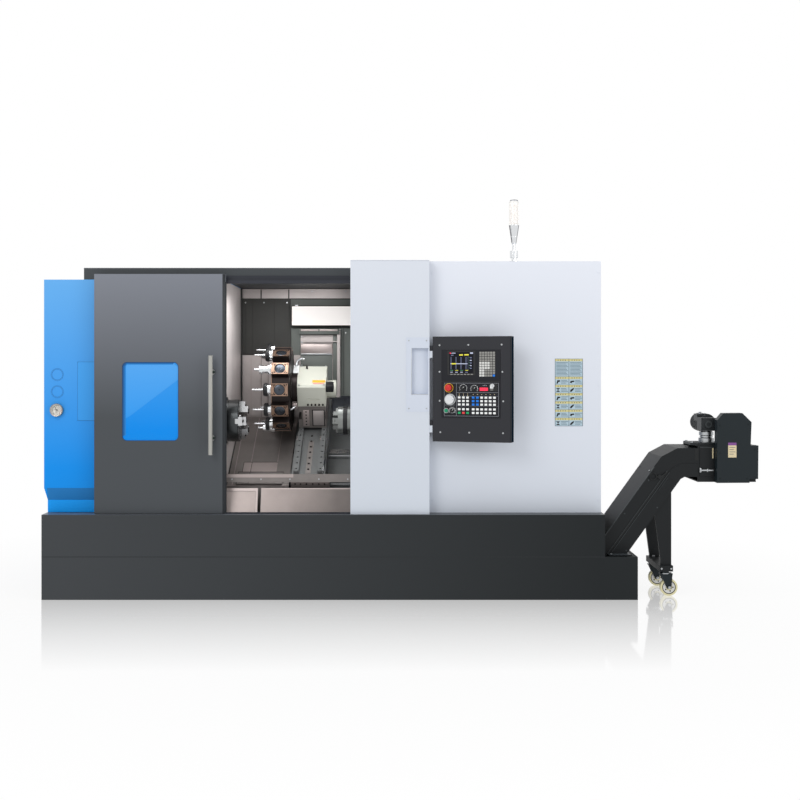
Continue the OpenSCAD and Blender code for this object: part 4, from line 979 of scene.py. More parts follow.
@dataclass
class Pendant:
    """Print, displays, keys, dials and screws of the control pendant, in its own axes.

    Attributes:
        pivot: hinge axis on the floor plan, in millimetres.
        foot: height of its lower edge.
        swing: how far it stands turned away from the front, in degrees.
        screws: places of the screws in the box's front.
        key_size: width and height of a machine key.
        pad_size: width and height of a data key.
        left_lane: place of the first of three key columns on the left, and their pitch.
        right_lane: place of the first key column on the right, and their pitch.
        key_rows: heights of the machine keys' rows.
        pad_start: place of the first data key.
        pad_pitch: pitch of the data keys, across and up.
        knobs: body, place, radius, height and rest angle in degrees of each turning knob.
    """

    pivot: Pair = (527.0, -231.0)
    foot: float = 910.0
    swing: float = -17.0
    screws: tuple[Pair, ...] = (
        (50, 555), (221, 556), (415, 557), (50, 402), (419, 402), (51, 235), (424, 235), (55, 54), (226, 54),
        (423, 54))
    key_size: Pair = (17.0, 13.0)
    pad_size: Pair = (14.2, 12.8)
    left_lane: Pair = (168.0, 24.5)
    right_lane: Pair = (250.0, 24.8)
    key_rows: tuple[float, ...] = (167.0, 188.0, 215.0, 235.0, 255.0)
    pad_start: Pair = (293.0, 381.0)
    pad_pitch: Pair = (15.6, 14.4)
    knobs: tuple[tuple[str, float, float, float, float, float], ...] = (
        ("feed_knob", 191.0, 308.0, 14.0, 16.0, 40.0), ("speed_knob", 256.0, 305.0, 13.0, 16.0, 40.0),
        ("selector", 126.0, 179.0, 12.0, 15.0, 45.0))

    def __post_init__(self) -> None:
        """Works out where the pendant's own axes stand."""
        turn = Matrix.Rotation(math.radians(self.swing), 4, "Z")
        self.place = Matrix.Translation((*self.pivot, self.foot)) @ turn

    def column(self, number: int) -> float:
        """Gives the place of a column of machine keys.

        Args:
            number: the column, from the left.

        Returns:
            Its middle across the panel.
        """
        (start, pitch), step = (self.left_lane, number) if number < 3 else (self.right_lane, number - 3)
        return start + pitch * step

    def panel_print(self) -> None:
        """Draws the fields, the seam between the two units and the row of small lights."""
        shape = PanelShape(self.place)
        shape.frame_line((78, 148), (398, 338), 1.6)
        for low, high in (((150, 148), (151.6, 338)), ((150, 283), (398, 284.6)), ((150, 262), (398, 263)),
                          ((150, 206), (398, 206.8))):
            shape.plate(low, high, LINE_PRINT, thick=0.3)
        shape.plate((62.5, 345), (407.5, 349), BLACK_PLASTIC, thick=1.2)
        shape.plate((64, 353), (406, 525), PANEL_FILM, thick=0.8)
        lights = [(self.column(n), z) for n in range(3) for z in (267, 275)]
        for x, z in lights + [(self.column(n), 273) for n in range(3, 9)]:
            shape.disc((x, PANEL_FACE, z), FRONT, 2.2, 1.2, PLATE_CREAM, 12, 0.3)
        for n in range(2):
            shape.plate((84, 213 - 7 * n), (142, 214 - 7 * n), LINE_PRINT, thick=0.25)
        shape.done("pendant_print", "black_plastic", "pendant")

    def machine_keys(self) -> None:
        """Caps the machine keys in their colours."""
        shape = PanelShape(self.place)
        wide, high = (s / 2 - 0.6 for s in self.key_size)
        for column in range(9):
            x = self.column(column)
            for row, z in enumerate(self.key_rows):
                finish = WHITE_KEY
                if column in (3, 4) and row > 1:
                    finish = BLUE_KEY
                if row == 0 and column < 3:
                    finish = RED_KEY if column == 1 else GREEN_KEY
                shape.block((x - wide, PANEL_FACE - 3.2, z - high), (x + wide, PANEL_FACE - 1.6, z + high),
                            finish, 0.8)
                mark = GREY_KEY if finish is WHITE_KEY else WHITE_KEY
                size = 1.6 + 0.9 * ((column * 3 + row * 5) % 3)
                shape.plate((x - size, z - 1.4), (x + size, z + 1.4), mark, 1.1, 0.35)
        shape.done("machine_keys", "black_plastic", "pendant")

    def data_keys(self) -> None:
        """Caps the data keys: dark grey, a paler block at the lower left and one blue key."""
        shape = PanelShape(self.place)
        wide, high = (s / 2 - 0.5 for s in self.pad_size)
        for column in range(6):
            for row in range(10):
                x = self.pad_start[0] + self.pad_pitch[0] * column
                z = self.pad_start[1] + self.pad_pitch[1] * row
                bright = (column < 2 and row < 3) or (column < 4 and 2 < row < 6)
                finish = PALE_KEY if bright else GREY_KEY
                finish = BLUE_KEY if (column, row) == (5, 0) else finish
                shape.block((x - wide, PANEL_FACE - 3.4, z - high), (x + wide, PANEL_FACE - 1.8, z + high),
                            finish, 0.7)
                mark = WHITE_KEY if finish is not PALE_KEY else PANEL_FILM
                shape.plate((x - 1.6, z - 1.0), (x + 1.6, z + 1.4), mark, 1.3, 0.35)
        shape.done("data_keys", "black_plastic", "pendant")

    def display(self) -> None:
        """Fits the screen with a plain graph and tables, and the dark bezel round it."""
        shape = PanelShape(self.place)
        shape.plate((98, 383), (262, 523), BLACK_PLASTIC, 0.6, 1.6)
        shape.plate((109, 392), (251, 515), SCREEN, 2.2, 0.3)
        for n in range(4):
            x = 118 + 29.5 * n
            shape.plate((x, 416), (x + 3, 487), SCREEN_BAR, 2.5, 0.2)
            value = SCREEN_YELLOW if n % 2 else SCREEN_GREEN
            shape.plate((x - 3, 409), (x + 14, 412), value, 2.5, 0.2)
            caption = SCREEN_WHITE if n < 3 else SCREEN_BAR
            shape.plate((x - 3, 398), (x + 12, 401.5), caption, 2.5, 0.2)
        shape.plate((116, 446), (216, 450.5), SCREEN_WHITE, 2.6, 0.2)
        shape.plate((122, 445), (150, 451.5), SCREEN_YELLOW, 2.8, 0.2)
        shape.plate((112, 506), (119, 512), SCREEN_RED, 2.5, 0.2)
        for low, high, finish in (
                ((122, 507), (146, 511), SCREEN_WHITE), ((120, 495), (134, 499), SCREEN_BAR),
                ((168, 495), (190, 502), SCREEN_YELLOW), ((198, 496), (224, 503), SCREEN_YELLOW),
                ((232, 505), (249, 513), SCREEN_WHITE)):
            shape.plate(low, high, finish, 2.5, 0.2)
        for n in range(5):
            shape.plate((224, 484 - 15 * n), (229, 486 - 15 * n), SCREEN_GREEN, 2.5, 0.2)
            value = SCREEN_WHITE if n % 2 else SCREEN_BAR
            shape.plate((231, 480 - 15 * n), (241, 485 - 15 * n), value, 2.5, 0.2)
        shape.plate((219, 412), (220, 492), SCREEN_BAR, 2.5, 0.2)
        for n in range(7):
            shape.plate((115 + 20 * n, 385), (129 + 20 * n, 390), GREY_KEY, 2.2, 0.8)
        shape.done("pendant_display", "black_plastic", "pendant")

    def dials(self) -> None:
        """Prints the scales of the override knobs and fits the red read-out and the slots."""
        shape = PanelShape(self.place)
        for (_, x, z, _, _, _), radius in zip(self.knobs, (19.0, 18.0, 16.0)):
            for step in range(15):
                turn = math.radians(207 - 17 * step)
                long = 5.6 if step % 2 == 0 else 4.2
                shape.tick((x, PANEL_FACE - 0.3, z), turn, radius, radius + long, 1.1, WHITE_KEY, 6)
        shape.plate((285, 291), (339, 315), BLACK_PLASTIC, 0.0, 1.6)
        shape.plate((288, 294), (336, 312), SCREEN_RED, 1.5, 0.2)
        for n in range(4):
            for low, high in (((4, 299), (8, 300.4)), ((4, 305), (8, 306.4)), ((10.4, 294), (11.6, 312))):
                x = 287 + 12.2 * n
                shape.plate((x + low[0], low[1]), (x + high[0], high[1]), RED_PLASTIC, 1.7, 0.2)
        shape.plate((344, 292), (390, 334), BLACK_PLASTIC, 0.0, 0.4)
        figure = [(348, 307), (367, 307), (367, 325), (363, 331), (352, 331), (348, 325)]
        shape.prism(figure, Plane.XZ, PANEL_FACE - 1.4, PANEL_FACE, WHITE_KEY)
        shape.plate((355, 314), (360, 322), GREY_KEY, 1.3, 0.3)
        shape.plate((350, 297), (366, 302), GREY_KEY, 0.4, 0.4)
        for n in range(3):
            shape.plate((306 + 9 * n, 322), (311 + 9 * n, 326 + 2 * (n % 2)), LINE_PRINT, 0.0, 0.5)
        shape.ring((106, PANEL_FACE, 310), FRONT, 21.0, 26.0, 1.4, YELLOW_PLASTIC)
        shape.ring((113, PANEL_FACE, 243), FRONT, 27.0, 33.0, 1.0, ZINC)
        shape.ring((91, PANEL_FACE, 179), FRONT, 11.6, 14.4, 3.0, ZINC)
        shape.ring((126, PANEL_FACE, 179), FRONT, 12.6, 14.6, 2.4, ZINC)
        for n in range(24):
            shape.tick((113, PANEL_FACE - 1.1, 243), math.tau * n / 24, 28.5, 31.5, 0.4, BLACK_PLASTIC, 5)
        shape.done("pendant_dials", "black_plastic", "pendant")

    def box_fittings(self) -> None:
        """Adds the box's screws, its side strip of painted shade, the rear vents and the cable gland."""
        shape = PanelShape(self.place)
        for x, z in self.screws:
            shape.bolt((x, 0.2, z), FRONT, 5.2, ZINC)
        # The side strip is painted shade.
        shape.block((462, 13, 3), (470.6, 69, 602), PENDANT_SIDE_SHADE, 1.5)
        for n in range(12):
            shape.block((150 + 14 * n, 69.4, 430), (156 + 14 * n, 71.2, 520), BLACK_PLASTIC, 0.6)
        shape.disc((60, 69, 560), BACK, 13.0, 3.0, BLACK_PLASTIC, 6, 0.6, True)
        shape.disc((60, 71, 560), BACK, 9.0, 4.0, BLACK_PLASTIC, 24, 1.0)
        for x, z in ((30, 20), (440, 20), (30, 585), (440, 585)):
            shape.bolt((x, 69.8, z), BACK, 5.0, ZINC)
        shape.done("pendant_fittings", "zinc", "pendant")

    def pointers(self) -> None:
        """Marks each turning knob with a white line."""
        for body, x, z, radius, height, turn in self.knobs:
            shape = Shape(self.place @ Matrix.Translation((x, PANEL_FACE, z))
                          @ Matrix.Rotation(math.radians(turn), 4, "Y"))
            shape.block((-0.9, -height - 0.4, radius * 0.2), (0.9, -height + 0.4, radius - 1.0), WHITE_KEY)
            shape.done(f"{body}_line", "black_plastic", body)

    def build(self) -> None:
        """Dresses the pendant."""
        self.panel_print()
        self.machine_keys()
        self.data_keys()
        self.display()
        self.dials()
        self.box_fittings()
        self.pointers()


@dataclass
class Turret:
    """The turret: its mounting faces, screws and collet nuts.

    Attributes:
        turret_up: distance of the turret's axis up the slant.
        disc_x: ends of the turret disc along the machine.
        stations: number of mounting faces.
        pad: size of a mounting face along and across the machine.
        pad_r: distance of a mounting face from the turret's axis.
        tool_r: distance of a tool from the turret's axis.
        nuts: stations that carry a collet nut.
        nut_profile: radius and height of each point of a collet nut.
    """

    turret_up: float = 364.0
    disc_x: Pair = (-430.0, -323.0)
    stations: int = 12
    pad: Pair = (102.0, 76.0)
    pad_r: float = 257.0
    tool_r: float = 242.0
    nuts: tuple[int, ...] = (0, 2, 3, 4, 7, 9, 11)
    nut_profile: tuple[Pair, ...] = (
        (30.0, 0), (37.2, 0), (38.2, 2), (38.2, 20), (36.5, 24.5), (24.0, 26.5), (15.0, 26.0), (15.0, 20.0),
        (30.0, 0))

    def __post_init__(self) -> None:
        """Works out where the turret's axis stands."""
        self.centre = spindle_axes(SLANT) @ Matrix.Translation((0, self.turret_up, 0))

    def station(self, number: int) -> Matrix:
        """Gives the axes of one station, with +Z away from the turret's axis.

        Args:
            number: which of the stations.

        Returns:
            Their place on the machine.
        """
        return self.centre @ Matrix.Rotation(math.tau * number / self.stations, 4, "X")

    def mounting_faces(self) -> None:
        """Frames each mounting face in bare steel and closes its bore with a plug."""
        x0 = self.disc_x[0]
        middle = x0 + 51.0
        shape = Shape()
        for number in range(self.stations):
            shape.place = self.station(number)
            half = self.pad[1] / 2
            x1 = x0 + self.pad[0]
            for low, high in (((x0, -half), (x0 + 15, half)), ((x1 - 15, -half), (x1, half)),
                              ((x0 + 15, -half), (x1 - 15, -half + 6)),
                              ((x0 + 15, half - 6), (x1 - 15, half))):
                shape.block((*low, self.pad_r - 0.3), (*high, self.pad_r + 1.0), BRONZE_STEEL)
            shape.ring((middle, 0, self.pad_r - 0.3), UP, 33.5, 37.5, 1.5, BRONZE_STEEL)
            plug = [(33, 0), (33, 4), (30, 6), (12, 7), (0, 7)]
            shape.turned((middle, 0, self.pad_r - 8), UP, plug, PLUG_STEEL, 32)
            shape.disc((middle, 0, self.pad_r - 2), UP, 4.5, 2.5, TURRET_DARK, 6, 0.4, True)
            for x in (x0 + 8, x1 - 8):
                for y in (-half + 8, half - 8):
                    shape.bolt((x, y, self.pad_r + 0.8), UP, 4.2, TURRET_DARK)
        shape.done("turret_mounting_faces", "turret_steel", "turret")

    def disc_face(self) -> None:
        """Rings the disc's front and its clamp cap with screws."""
        shape = Shape(self.centre)
        x0 = self.disc_x[0]
        shape.ring((x0 - 2.5, 0, 0), RIGHT, 92, 214, 3.5, TURRET_DARK)
        shape.ring((x0 - 3.0, 0, 0), RIGHT, 208, 214.5, 3.0, BRONZE_STEEL)
        for z, y in around(12, 112, math.tau / 24):
            shape.bolt((x0 - 2.4, y, z), LEFT, 8.0, ZINC)
        shape.turned((x0 - 13.5, 0, 0), LEFT, [(52, 0), (52, 3), (48, 5), (0, 5)], GROUND_STEEL, 40)
        shape.done("turret_face_ring", "turret_steel", "turret")

    def collet_nuts(self) -> None:
        """Slips the slotted black nuts over the collet holders, and rings the shanks."""
        shape = Shape()
        x0 = self.disc_x[0]
        for number in range(self.stations):
            shape.place = self.station(number) @ Matrix.Translation((0, 0, self.tool_r))
            if number in self.nuts:
                shape.turned((x0 - 19.5, 0, 0), LEFT, self.nut_profile, BLACK_PLASTIC, 36)
                for z, y in around(12, 38.0):
                    shape.hose([(x0 - 22, y, z), (x0 - 39, y, z)], 2.2, BLACK_PLASTIC, 6, 1)
                shape.turned((x0 - 43, 0, 0), LEFT, [(14.8, 0), (14.8, 3), (9.5, 7), (0, 7)],
                             GROUND_STEEL)
                shape.turned((x0 - 112, 0, 0), LEFT, [(6, 0), (5, 3), (0, 6)], GROUND_STEEL, 24)
            shape.ring((x0 - 0.2, 0, 0), LEFT, 29.0, 34.0, 6.0, GROUND_STEEL)
            for z, y in around(4, 31.5, math.tau / 8):
                shape.bolt((x0 - 5.9, y, z), LEFT, 2.4, TURRET_DARK)
        shape.done("collet_nuts", "steel_bright", "turret")

    def build(self) -> None:
        """Dresses the turret."""
        self.mounting_faces()
        self.disc_face()
        self.collet_nuts()


@dataclass
class Interior:
    """Sheets, seams, nozzles, plates and screws inside the enclosure.

    Attributes:
        tilt: the slant's own axes: X along the machine, Y up the slant, Z off it.
        wall: front face of the rear splash wall, in millimetres.
        guard: ends of the upper guard in X, its foot and its top.
        cover: front face of the saddle's own upright cover.
        roof: underside of the roof.
        far: right end of the rear wall.
        joints: left edges of the rear wall's sheets.
        folds: foot and top of the folded way covers.
        second_face: front of the second chuck's body at rest.
        jaws: angle of each jaw, in degrees.
    """

    tilt: Matrix = field(default_factory=lambda: spindle_axes(SLANT))
    wall: float = 660.0
    guard: tuple[float, ...] = (-686.0, -362.0, 1422.0, 1780.0)
    cover: float = 643.0
    roof: float = 1845.0
    far: float = 1400.0
    joints: tuple[float, ...] = (-240.0, -20.0, 200.0, 420.0, 640.0, 860.0, 1080.0, 1300.0)
    folds: Pair = (980.0, 1413.0)
    second_face: float = -20.0
    jaws: tuple[float, ...] = (90.0, 210.0, 330.0)

    def rear_sheets(self) -> None:
        """Lays the bright strip under the roof, the shaded strip over the lamp and the wall's joints."""
        shape = Shape()
        x0, x1, low, high = self.guard
        wall, far = self.wall, self.far
        shape.block((x0 + 1, wall - 3.5, high + 4), (far, wall + 0.5, self.roof), SPLASH_STEEL)
        shape.block((x1, wall - 6.0, 1724), (far, wall + 0.5, high - 2), GREEN_STEEL)
        shape.block((x1, wall - 6.0, high - 2), (far, wall - 2.0, high + 4), SEAM_AND_SHADE_BLACK)
        for x in (-655, -612, -470):
            shape.block((x, wall - 15.6, low + 2), (x + 2.5, wall - 13.6, high - 2), SEAM_AND_SHADE_BLACK)
        shape.block((x0, wall - 17.0, low - 2), (x1, wall - 13.8, low + 3), SEAM_AND_SHADE_BLACK)
        shape.block((x1 + 2, wall - 5.0, 1150), (far, wall + 0.4, 1590), GREEN_STEEL)
        for x in self.joints:
            shape.block((x, wall - 6.0, 1152), (x + 3, wall - 4.6, 1590), SEAM_AND_SHADE_BLACK)
            shape.bolt((x + 14, wall - 4.8, 1560), FRONT, 5.0, ZINC)
            shape.bolt((x + 14, wall - 3.3, 1830), FRONT, 5.0, ZINC)
        shape.block((x0 + 1.6, wall - 34.0, 980), (x0 + 10, wall - 15.0, self.roof), SEAM_AND_SHADE_BLACK)
        for x in (x0 + 30, x0 + 150, x1 - 24):
            shape.bolt((x, wall - 13.8, high - 24), FRONT, 5.0, ZINC)
        shape.done("rear_wall_sheets", "steel_sheet")

    def lamp_trim(self) -> None:
        """Frames the work lamp and hangs its two brackets."""
        (x0, y, z0), (x1, _, z1) = span("work_light")
        shape = Shape()
        for a, b in (((x0 - 3, z0 - 3), (x1 + 3, z0 + 1.5)), ((x0 - 3, z1 - 1.5), (x1 + 3, z1 + 3)),
                     ((x0 - 3, z0), (x0 + 1.5, z1)), ((x1 - 1.5, z0), (x1 + 3, z1))):
            shape.block((a[0], y - 2.0, a[1]), (b[0], self.wall - 1, b[1]), SEAM_AND_SHADE_BLACK, 0.5)
        for x in (x0 + 20, x1 - 40):
            shape.block((x, y + 6, z1 + 2), (x + 20, self.wall - 1, z1 + 8), ZINC, 1.0)
        shape.done("work_light_frame", "black_plastic")

    def saddle_cover(self) -> None:
        """Builds the stepped cap with painted shade under it, and the lighter step of the saddle's upright
        cover.
        """
        y = self.cover
        shape = Shape()
        shape.block((-302, y - 44, 1549), (-44, y + 0.5, 1584), GREEN_STEEL, 2.0)
        shape.block((-292, y - 46, 1570), (-180, y - 43, 1581), ROSE_STEEL_HIGHLIGHT, 1.0)
        shape.block((-172, y - 46, 1570), (-56, y - 43, 1581), ROSE_STEEL_HIGHLIGHT, 1.0)
        # Painted shade under the cap.
        shape.block((-300, y - 22, 1546), (-46, y + 0.5, 1551), SEAM_AND_SHADE_BLACK)
        shape.block((-296, y - 16, 1424), (-90, y + 0.5, 1488), ROSE_STEEL_HIGHLIGHT, 4.0)
        shape.block((-296, y - 18, 1418), (-96, y + 0.5, 1425), ZINC, 1.0)
        shape.block((-88, y - 10, 1230), (-44, y + 0.5, 1545), GREEN_STEEL, 2.0)
        shape.block((-298, y - 8, 1200), (-92, y + 0.5, 1417), GREEN_STEEL, 2.0)
        for x, z in ((-289, 1536), (-289, 1400), (-289, 1350), (-54, 1536), (-54, 1300), (-289, 1500)):
            shape.bolt((x, y - 16 if z > 1418 and x < -90 else y - 9.8, z), FRONT, 5.0, ZINC)
        shape.done("saddle_cover_steps", "steel_sheet", "saddle")

    def way_ribs(self) -> None:
        """Folds the edges of the telescopic way covers, bright with painted highlight."""
        y = self.cover
        foot, top = self.folds
        saddle = Shape()
        for x in (-560, -515, -470, -425):
            saddle.block((x, y - 4.0, foot), (x + 3.0, y - 1.5, top), ROSE_STEEL_HIGHLIGHT, 0.6)
            saddle.block((x + 6, y - 1.0, foot), (x + 8, y + 0.5, top), SEAM_AND_SHADE_BLACK)
        saddle.done("saddle_cover_folds", "steel_sheet", "saddle")
        middle = Shape()
        (x0, front, _), (x1, _, _) = span("way_cover_middle")
        for x in (x0 + 4, x1 - 8):
            middle.block((x, front - 0.25, foot), (x + 3, front + 0.5, top), ROSE_STEEL_HIGHLIGHT)
        middle.done("middle_cover_folds", "steel_sheet", "middle_cover")

    def nozzles(self) -> None:
        """Fits the turret's coolant blocks, jets, plate, eye bolt and cable box."""
        shape = Shape(self.tilt)
        shape.block((-318, 388, 60), (-283, 486, 102), WHITE_KEY, 3.0)
        shape.hose([(-300, 470, 101), (-296, 500, 118), (-280, 520, 124), (-262, 526, 122)], 8.0, ZINC, 14)
        shape.disc((-262, 526, 122), (1, 0.2, 0), 10.0, 8.0, CHROME, 24, 1.0)
        shape.block((-318, 228, -66), (-284, 262, -26), ROSE_STEEL_HIGHLIGHT, 4.0)
        shape.hose([(-300, 230, -46), (-312, 214, -52), (-330, 206, -56)], 6.0, ZINC, 12)
        shape.block((-190, 279, 96.6), (-112, 307, 97.8), PLATE_ORANGE, 0.2)
        shape.block((-184, 262, 96.6), (-118, 268, 97.6), RED_KEY, 0.2)
        shape.ring((-236, 452, 103), (1, 0.3, 0), 9.0, 14.0, 5.0, TURRET_DARK, 24)
        shape.disc((-234, 452, 96.7), UP, 8.0, 4.0, TURRET_DARK, 24, 1.0)
        shape.block((-107.6, 244, 48), (-60, 300, 92), BLACK_PLASTIC, 3.0)
        shape.ring((-322.0, 364, 0), RIGHT, 100.6, 102.4, 37.0, TURRET_DARK, 64)
        for x, s in ((-270, 250), (-118, 250), (-270, 478), (-118, 478)):
            shape.bolt((x, s, 96.8), UP, 5.5, ZINC)
        for n in range(5):
            shape.disc((-219 + 23 * n, 239.4, -36), FRONT, 5.6, 11.0, TURRET_DARK, 16, 1.0)
        shape.done("turret_housing_fittings", "cream_enamel", "cross_slide")

    def saddle_trim(self) -> None:
        """Adds the wiper bar, gib screws and oil line of the saddle."""
        shape = Shape(self.tilt)
        shape.block((-298, -250, -316), (-70, -225.8, -250), ROSE_STEEL_HIGHLIGHT, 4.0)
        shape.block((-299, -232, -262), (-91, -225.6, -236), CAST_IRON, 2.0)
        for x in (-272, -240, -205, -168, -132, -98):
            shape.bolt((x, -249.8, -284), FRONT, 5.0, TURRET_DARK)
        for s in range(-180, 200, 60):
            shape.bolt((-197, s, -230.2), UP, 7.0, TURRET_DARK)
        oil_line = [(-110, -220, -228), (-106, -100, -216), (-104, 60, -222), (-108, 200, -214)]
        shape.hose(oil_line, 5.0, CHROME, 10)
        shape.block((-213, -222, -230.3), (-181, 120, -228.9), OILED_STEEL)
        for x0, x1 in ((-290, -250), (-146, -104)):
            shape.block((x0, 132, -230.3), (x1, 172, -223), ROSE_STEEL_HIGHLIGHT, 2.0)
            shape.block((x0 - 1, 150, -230.3), (x1 + 1, 153, -222.5), SEAM_AND_SHADE_BLACK)
        shape.done("saddle_trim", "cast_iron", "saddle")
        front = Shape(self.tilt)
        front.block((-252, 235.5, -192), (-214, 240.3, -76), ROSE_STEEL_HIGHLIGHT, 1.0)
        for n in range(5):
            front.disc((-233, 235.7, -180 + 23 * n), FRONT, 5.0, 0.6, SEAM_AND_SHADE_BLACK, 16, 0.1)
        front.block((-196, 238.4, -194), (-118, 240.3, -74), SEAM_AND_SHADE_BLACK)
        front.block((-190, 236.5, -188), (-124, 240.2, -80), SPLASH_STEEL, 1.0)
        front.done("cross_slide_front_plates", "steel_sheet", "cross_slide")

    def trays(self) -> None:
        """Ribs the guard plate over the chip trough and brightens its folded edges with painted highlight.
        """
        shape = Shape(self.tilt)
        top = -304.0
        for x in (-650, -560, -400):
            shape.block((x, -232, top - 0.5), (x + 3, 500, top + 1.2), ROSE_STEEL_HIGHLIGHT, 0.3)
        shape.block((-684, -237.4, top - 6), (-313, -234, top + 1.0), ROSE_STEEL_HIGHLIGHT, 0.8)
        for x in (-600, -520, -440, -370):
            shape.bolt((x, -150, top + 12.4), UP, 5.0, ZINC)
        shape.block((-624, -238, top + 11), (-621, -118, top + 13.4), SEAM_AND_SHADE_BLACK)
        shape.block((-624, -120, top + 0.5), (-350, -115, top + 13.4), SEAM_AND_SHADE_BLACK)
        shape.block((-618, -234, top + 11.5), (-355, -123, top + 12.6), OILED_STEEL)
        shape.block((-600, -115, top - 0.5), (-400, 0, top + 1.8), ROSE_STEEL_HIGHLIGHT)
        for low, high in (((-603, 0), (-397, 4)), ((-603, -115), (-600, 4)), ((-554, -115), (-551, 0))):
            shape.block((*low, top - 0.5), (*high, top + 2.4), SEAM_AND_SHADE_BLACK)
        shape.block((-684, -234, top - 0.5), (-677, 500, top + 1.4), SEAM_AND_SHADE_BLACK)
        shape.block((-554, -234, top + 12.0), (-551, -123, top + 13.0), SEAM_AND_SHADE_BLACK)
        shape.done("guard_plate_folds", "steel_sheet")
        self.sill()

    def sill(self) -> None:
        """Plates the sill in front of the chip trough with sheet in painted light and shade, and frames its
        left box with painted highlights.
        """
        foot, rise = Vector((-151.7, 486.0)), Vector((45.7, 142.0))
        off = Vector((-rise.y, rise.x)).normalized() * 1.6
        shape = Shape()
        for x0, x1, low, high, finish, lift in (
                (-467, 59, 0.02, 0.97, SILL_STEEL, 1.0), (-684, -502, 0.02, 0.86, SILL_STEEL, 1.0),
                (-684, -488, 0.88, 0.99, ROSE_STEEL_HIGHLIGHT, 1.6), (-500, -488, 0.02, 0.88, ROSE_STEEL_HIGHLIGHT, 1.6),
                (-467, 59, 0.95, 0.99, ROSE_STEEL_HIGHLIGHT, 1.6)):
            a, b = foot + rise * low, foot + rise * high
            out = off * lift
            shape.prism([tuple(a), tuple(b), tuple(b + out), tuple(a + out)], Plane.YZ, x0, x1, finish)
        shape.done("sill_sheets", "steel_sheet")
        beam = Shape()
        beam.block((-684, -107.4, 690), (-280, -105.6, 709), ROSE_STEEL_HIGHLIGHT)
        beam.block((-280, -107.4, 672), (1390, -105.6, 709), OILED_STEEL)
        for x in (-640, -470, -300, -130, 40):
            beam.bolt((x, -107.2, 680), FRONT, 4.5, ZINC)
        beam.done("trough_beam_faces", "steel_sheet")

    def chuck_rings(self) -> None:
        """Scribes the chuck's face rings and fits its wrench screws and jaw screws."""
        face = span("chuck_body")[1][0]
        shape = Shape(spindle_axes())
        for radius in (60, 88, 112):
            for jaw_turn in self.jaws:
                turns = [math.radians(jaw_turn + 16 + 88 * step / 12) for step in range(13)]
                route = [(face + 0.2, radius * math.cos(turn), radius * math.sin(turn)) for turn in turns]
                shape.hose(route, 0.9, TURRET_DARK, 5, 1)
        shape.ring((face - 0.3, 0, 0), RIGHT, 36.0, 40.4, 3.0, GROUND_STEEL, 40)
        shape.done("chuck_face_rings", "steel_bright", "main_spindle")
        for n, angle in enumerate(self.jaws):
            jaw = Shape(spindle_axes(angle))
            for radius in (56, 74):
                jaw.bolt((face + 42.8, 0, radius), RIGHT, 8.0, TURRET_DARK)
            jaw.bolt((face + 23.8, 0, 102), RIGHT, 8.0, TURRET_DARK)
            for step in range(6):
                jaw.block((face + 6 + 5 * step, -25.4, 43.4), (face + 8 + 5 * step, 25.4, 45.0), TURRET_DARK)
            jaw.done(f"jaw_{n + 1}_screws", "steel_bright", f"jaw_{n + 1}")

    def second_chuck(self) -> None:
        """Dresses the second chuck with its jaw screws and clamp ring."""
        face = self.second_face
        shape = Shape(spindle_axes())
        shape.ring((face + 30, 0, 0), RIGHT, 82.0, 84.5, 26.0, BLACK_PLASTIC, 48)
        for angle in self.jaws:
            shape.place = spindle_axes(angle)
            shape.bolt((face - 31.8, 0, 39), LEFT, 6.0, TURRET_DARK)
            shape.bolt((face - 15.8, 0, 64), LEFT, 6.0, TURRET_DARK)
        shape.done("second_chuck_rings", "steel_bright", "second_chuck")

    def build(self) -> None:
        """Dresses the interior."""
        self.rear_sheets()
        self.lamp_trim()
        self.saddle_cover()
        self.way_ribs()
        self.nozzles()
        self.saddle_trim()
        self.trays()
        self.chuck_rings()
        self.second_chuck()


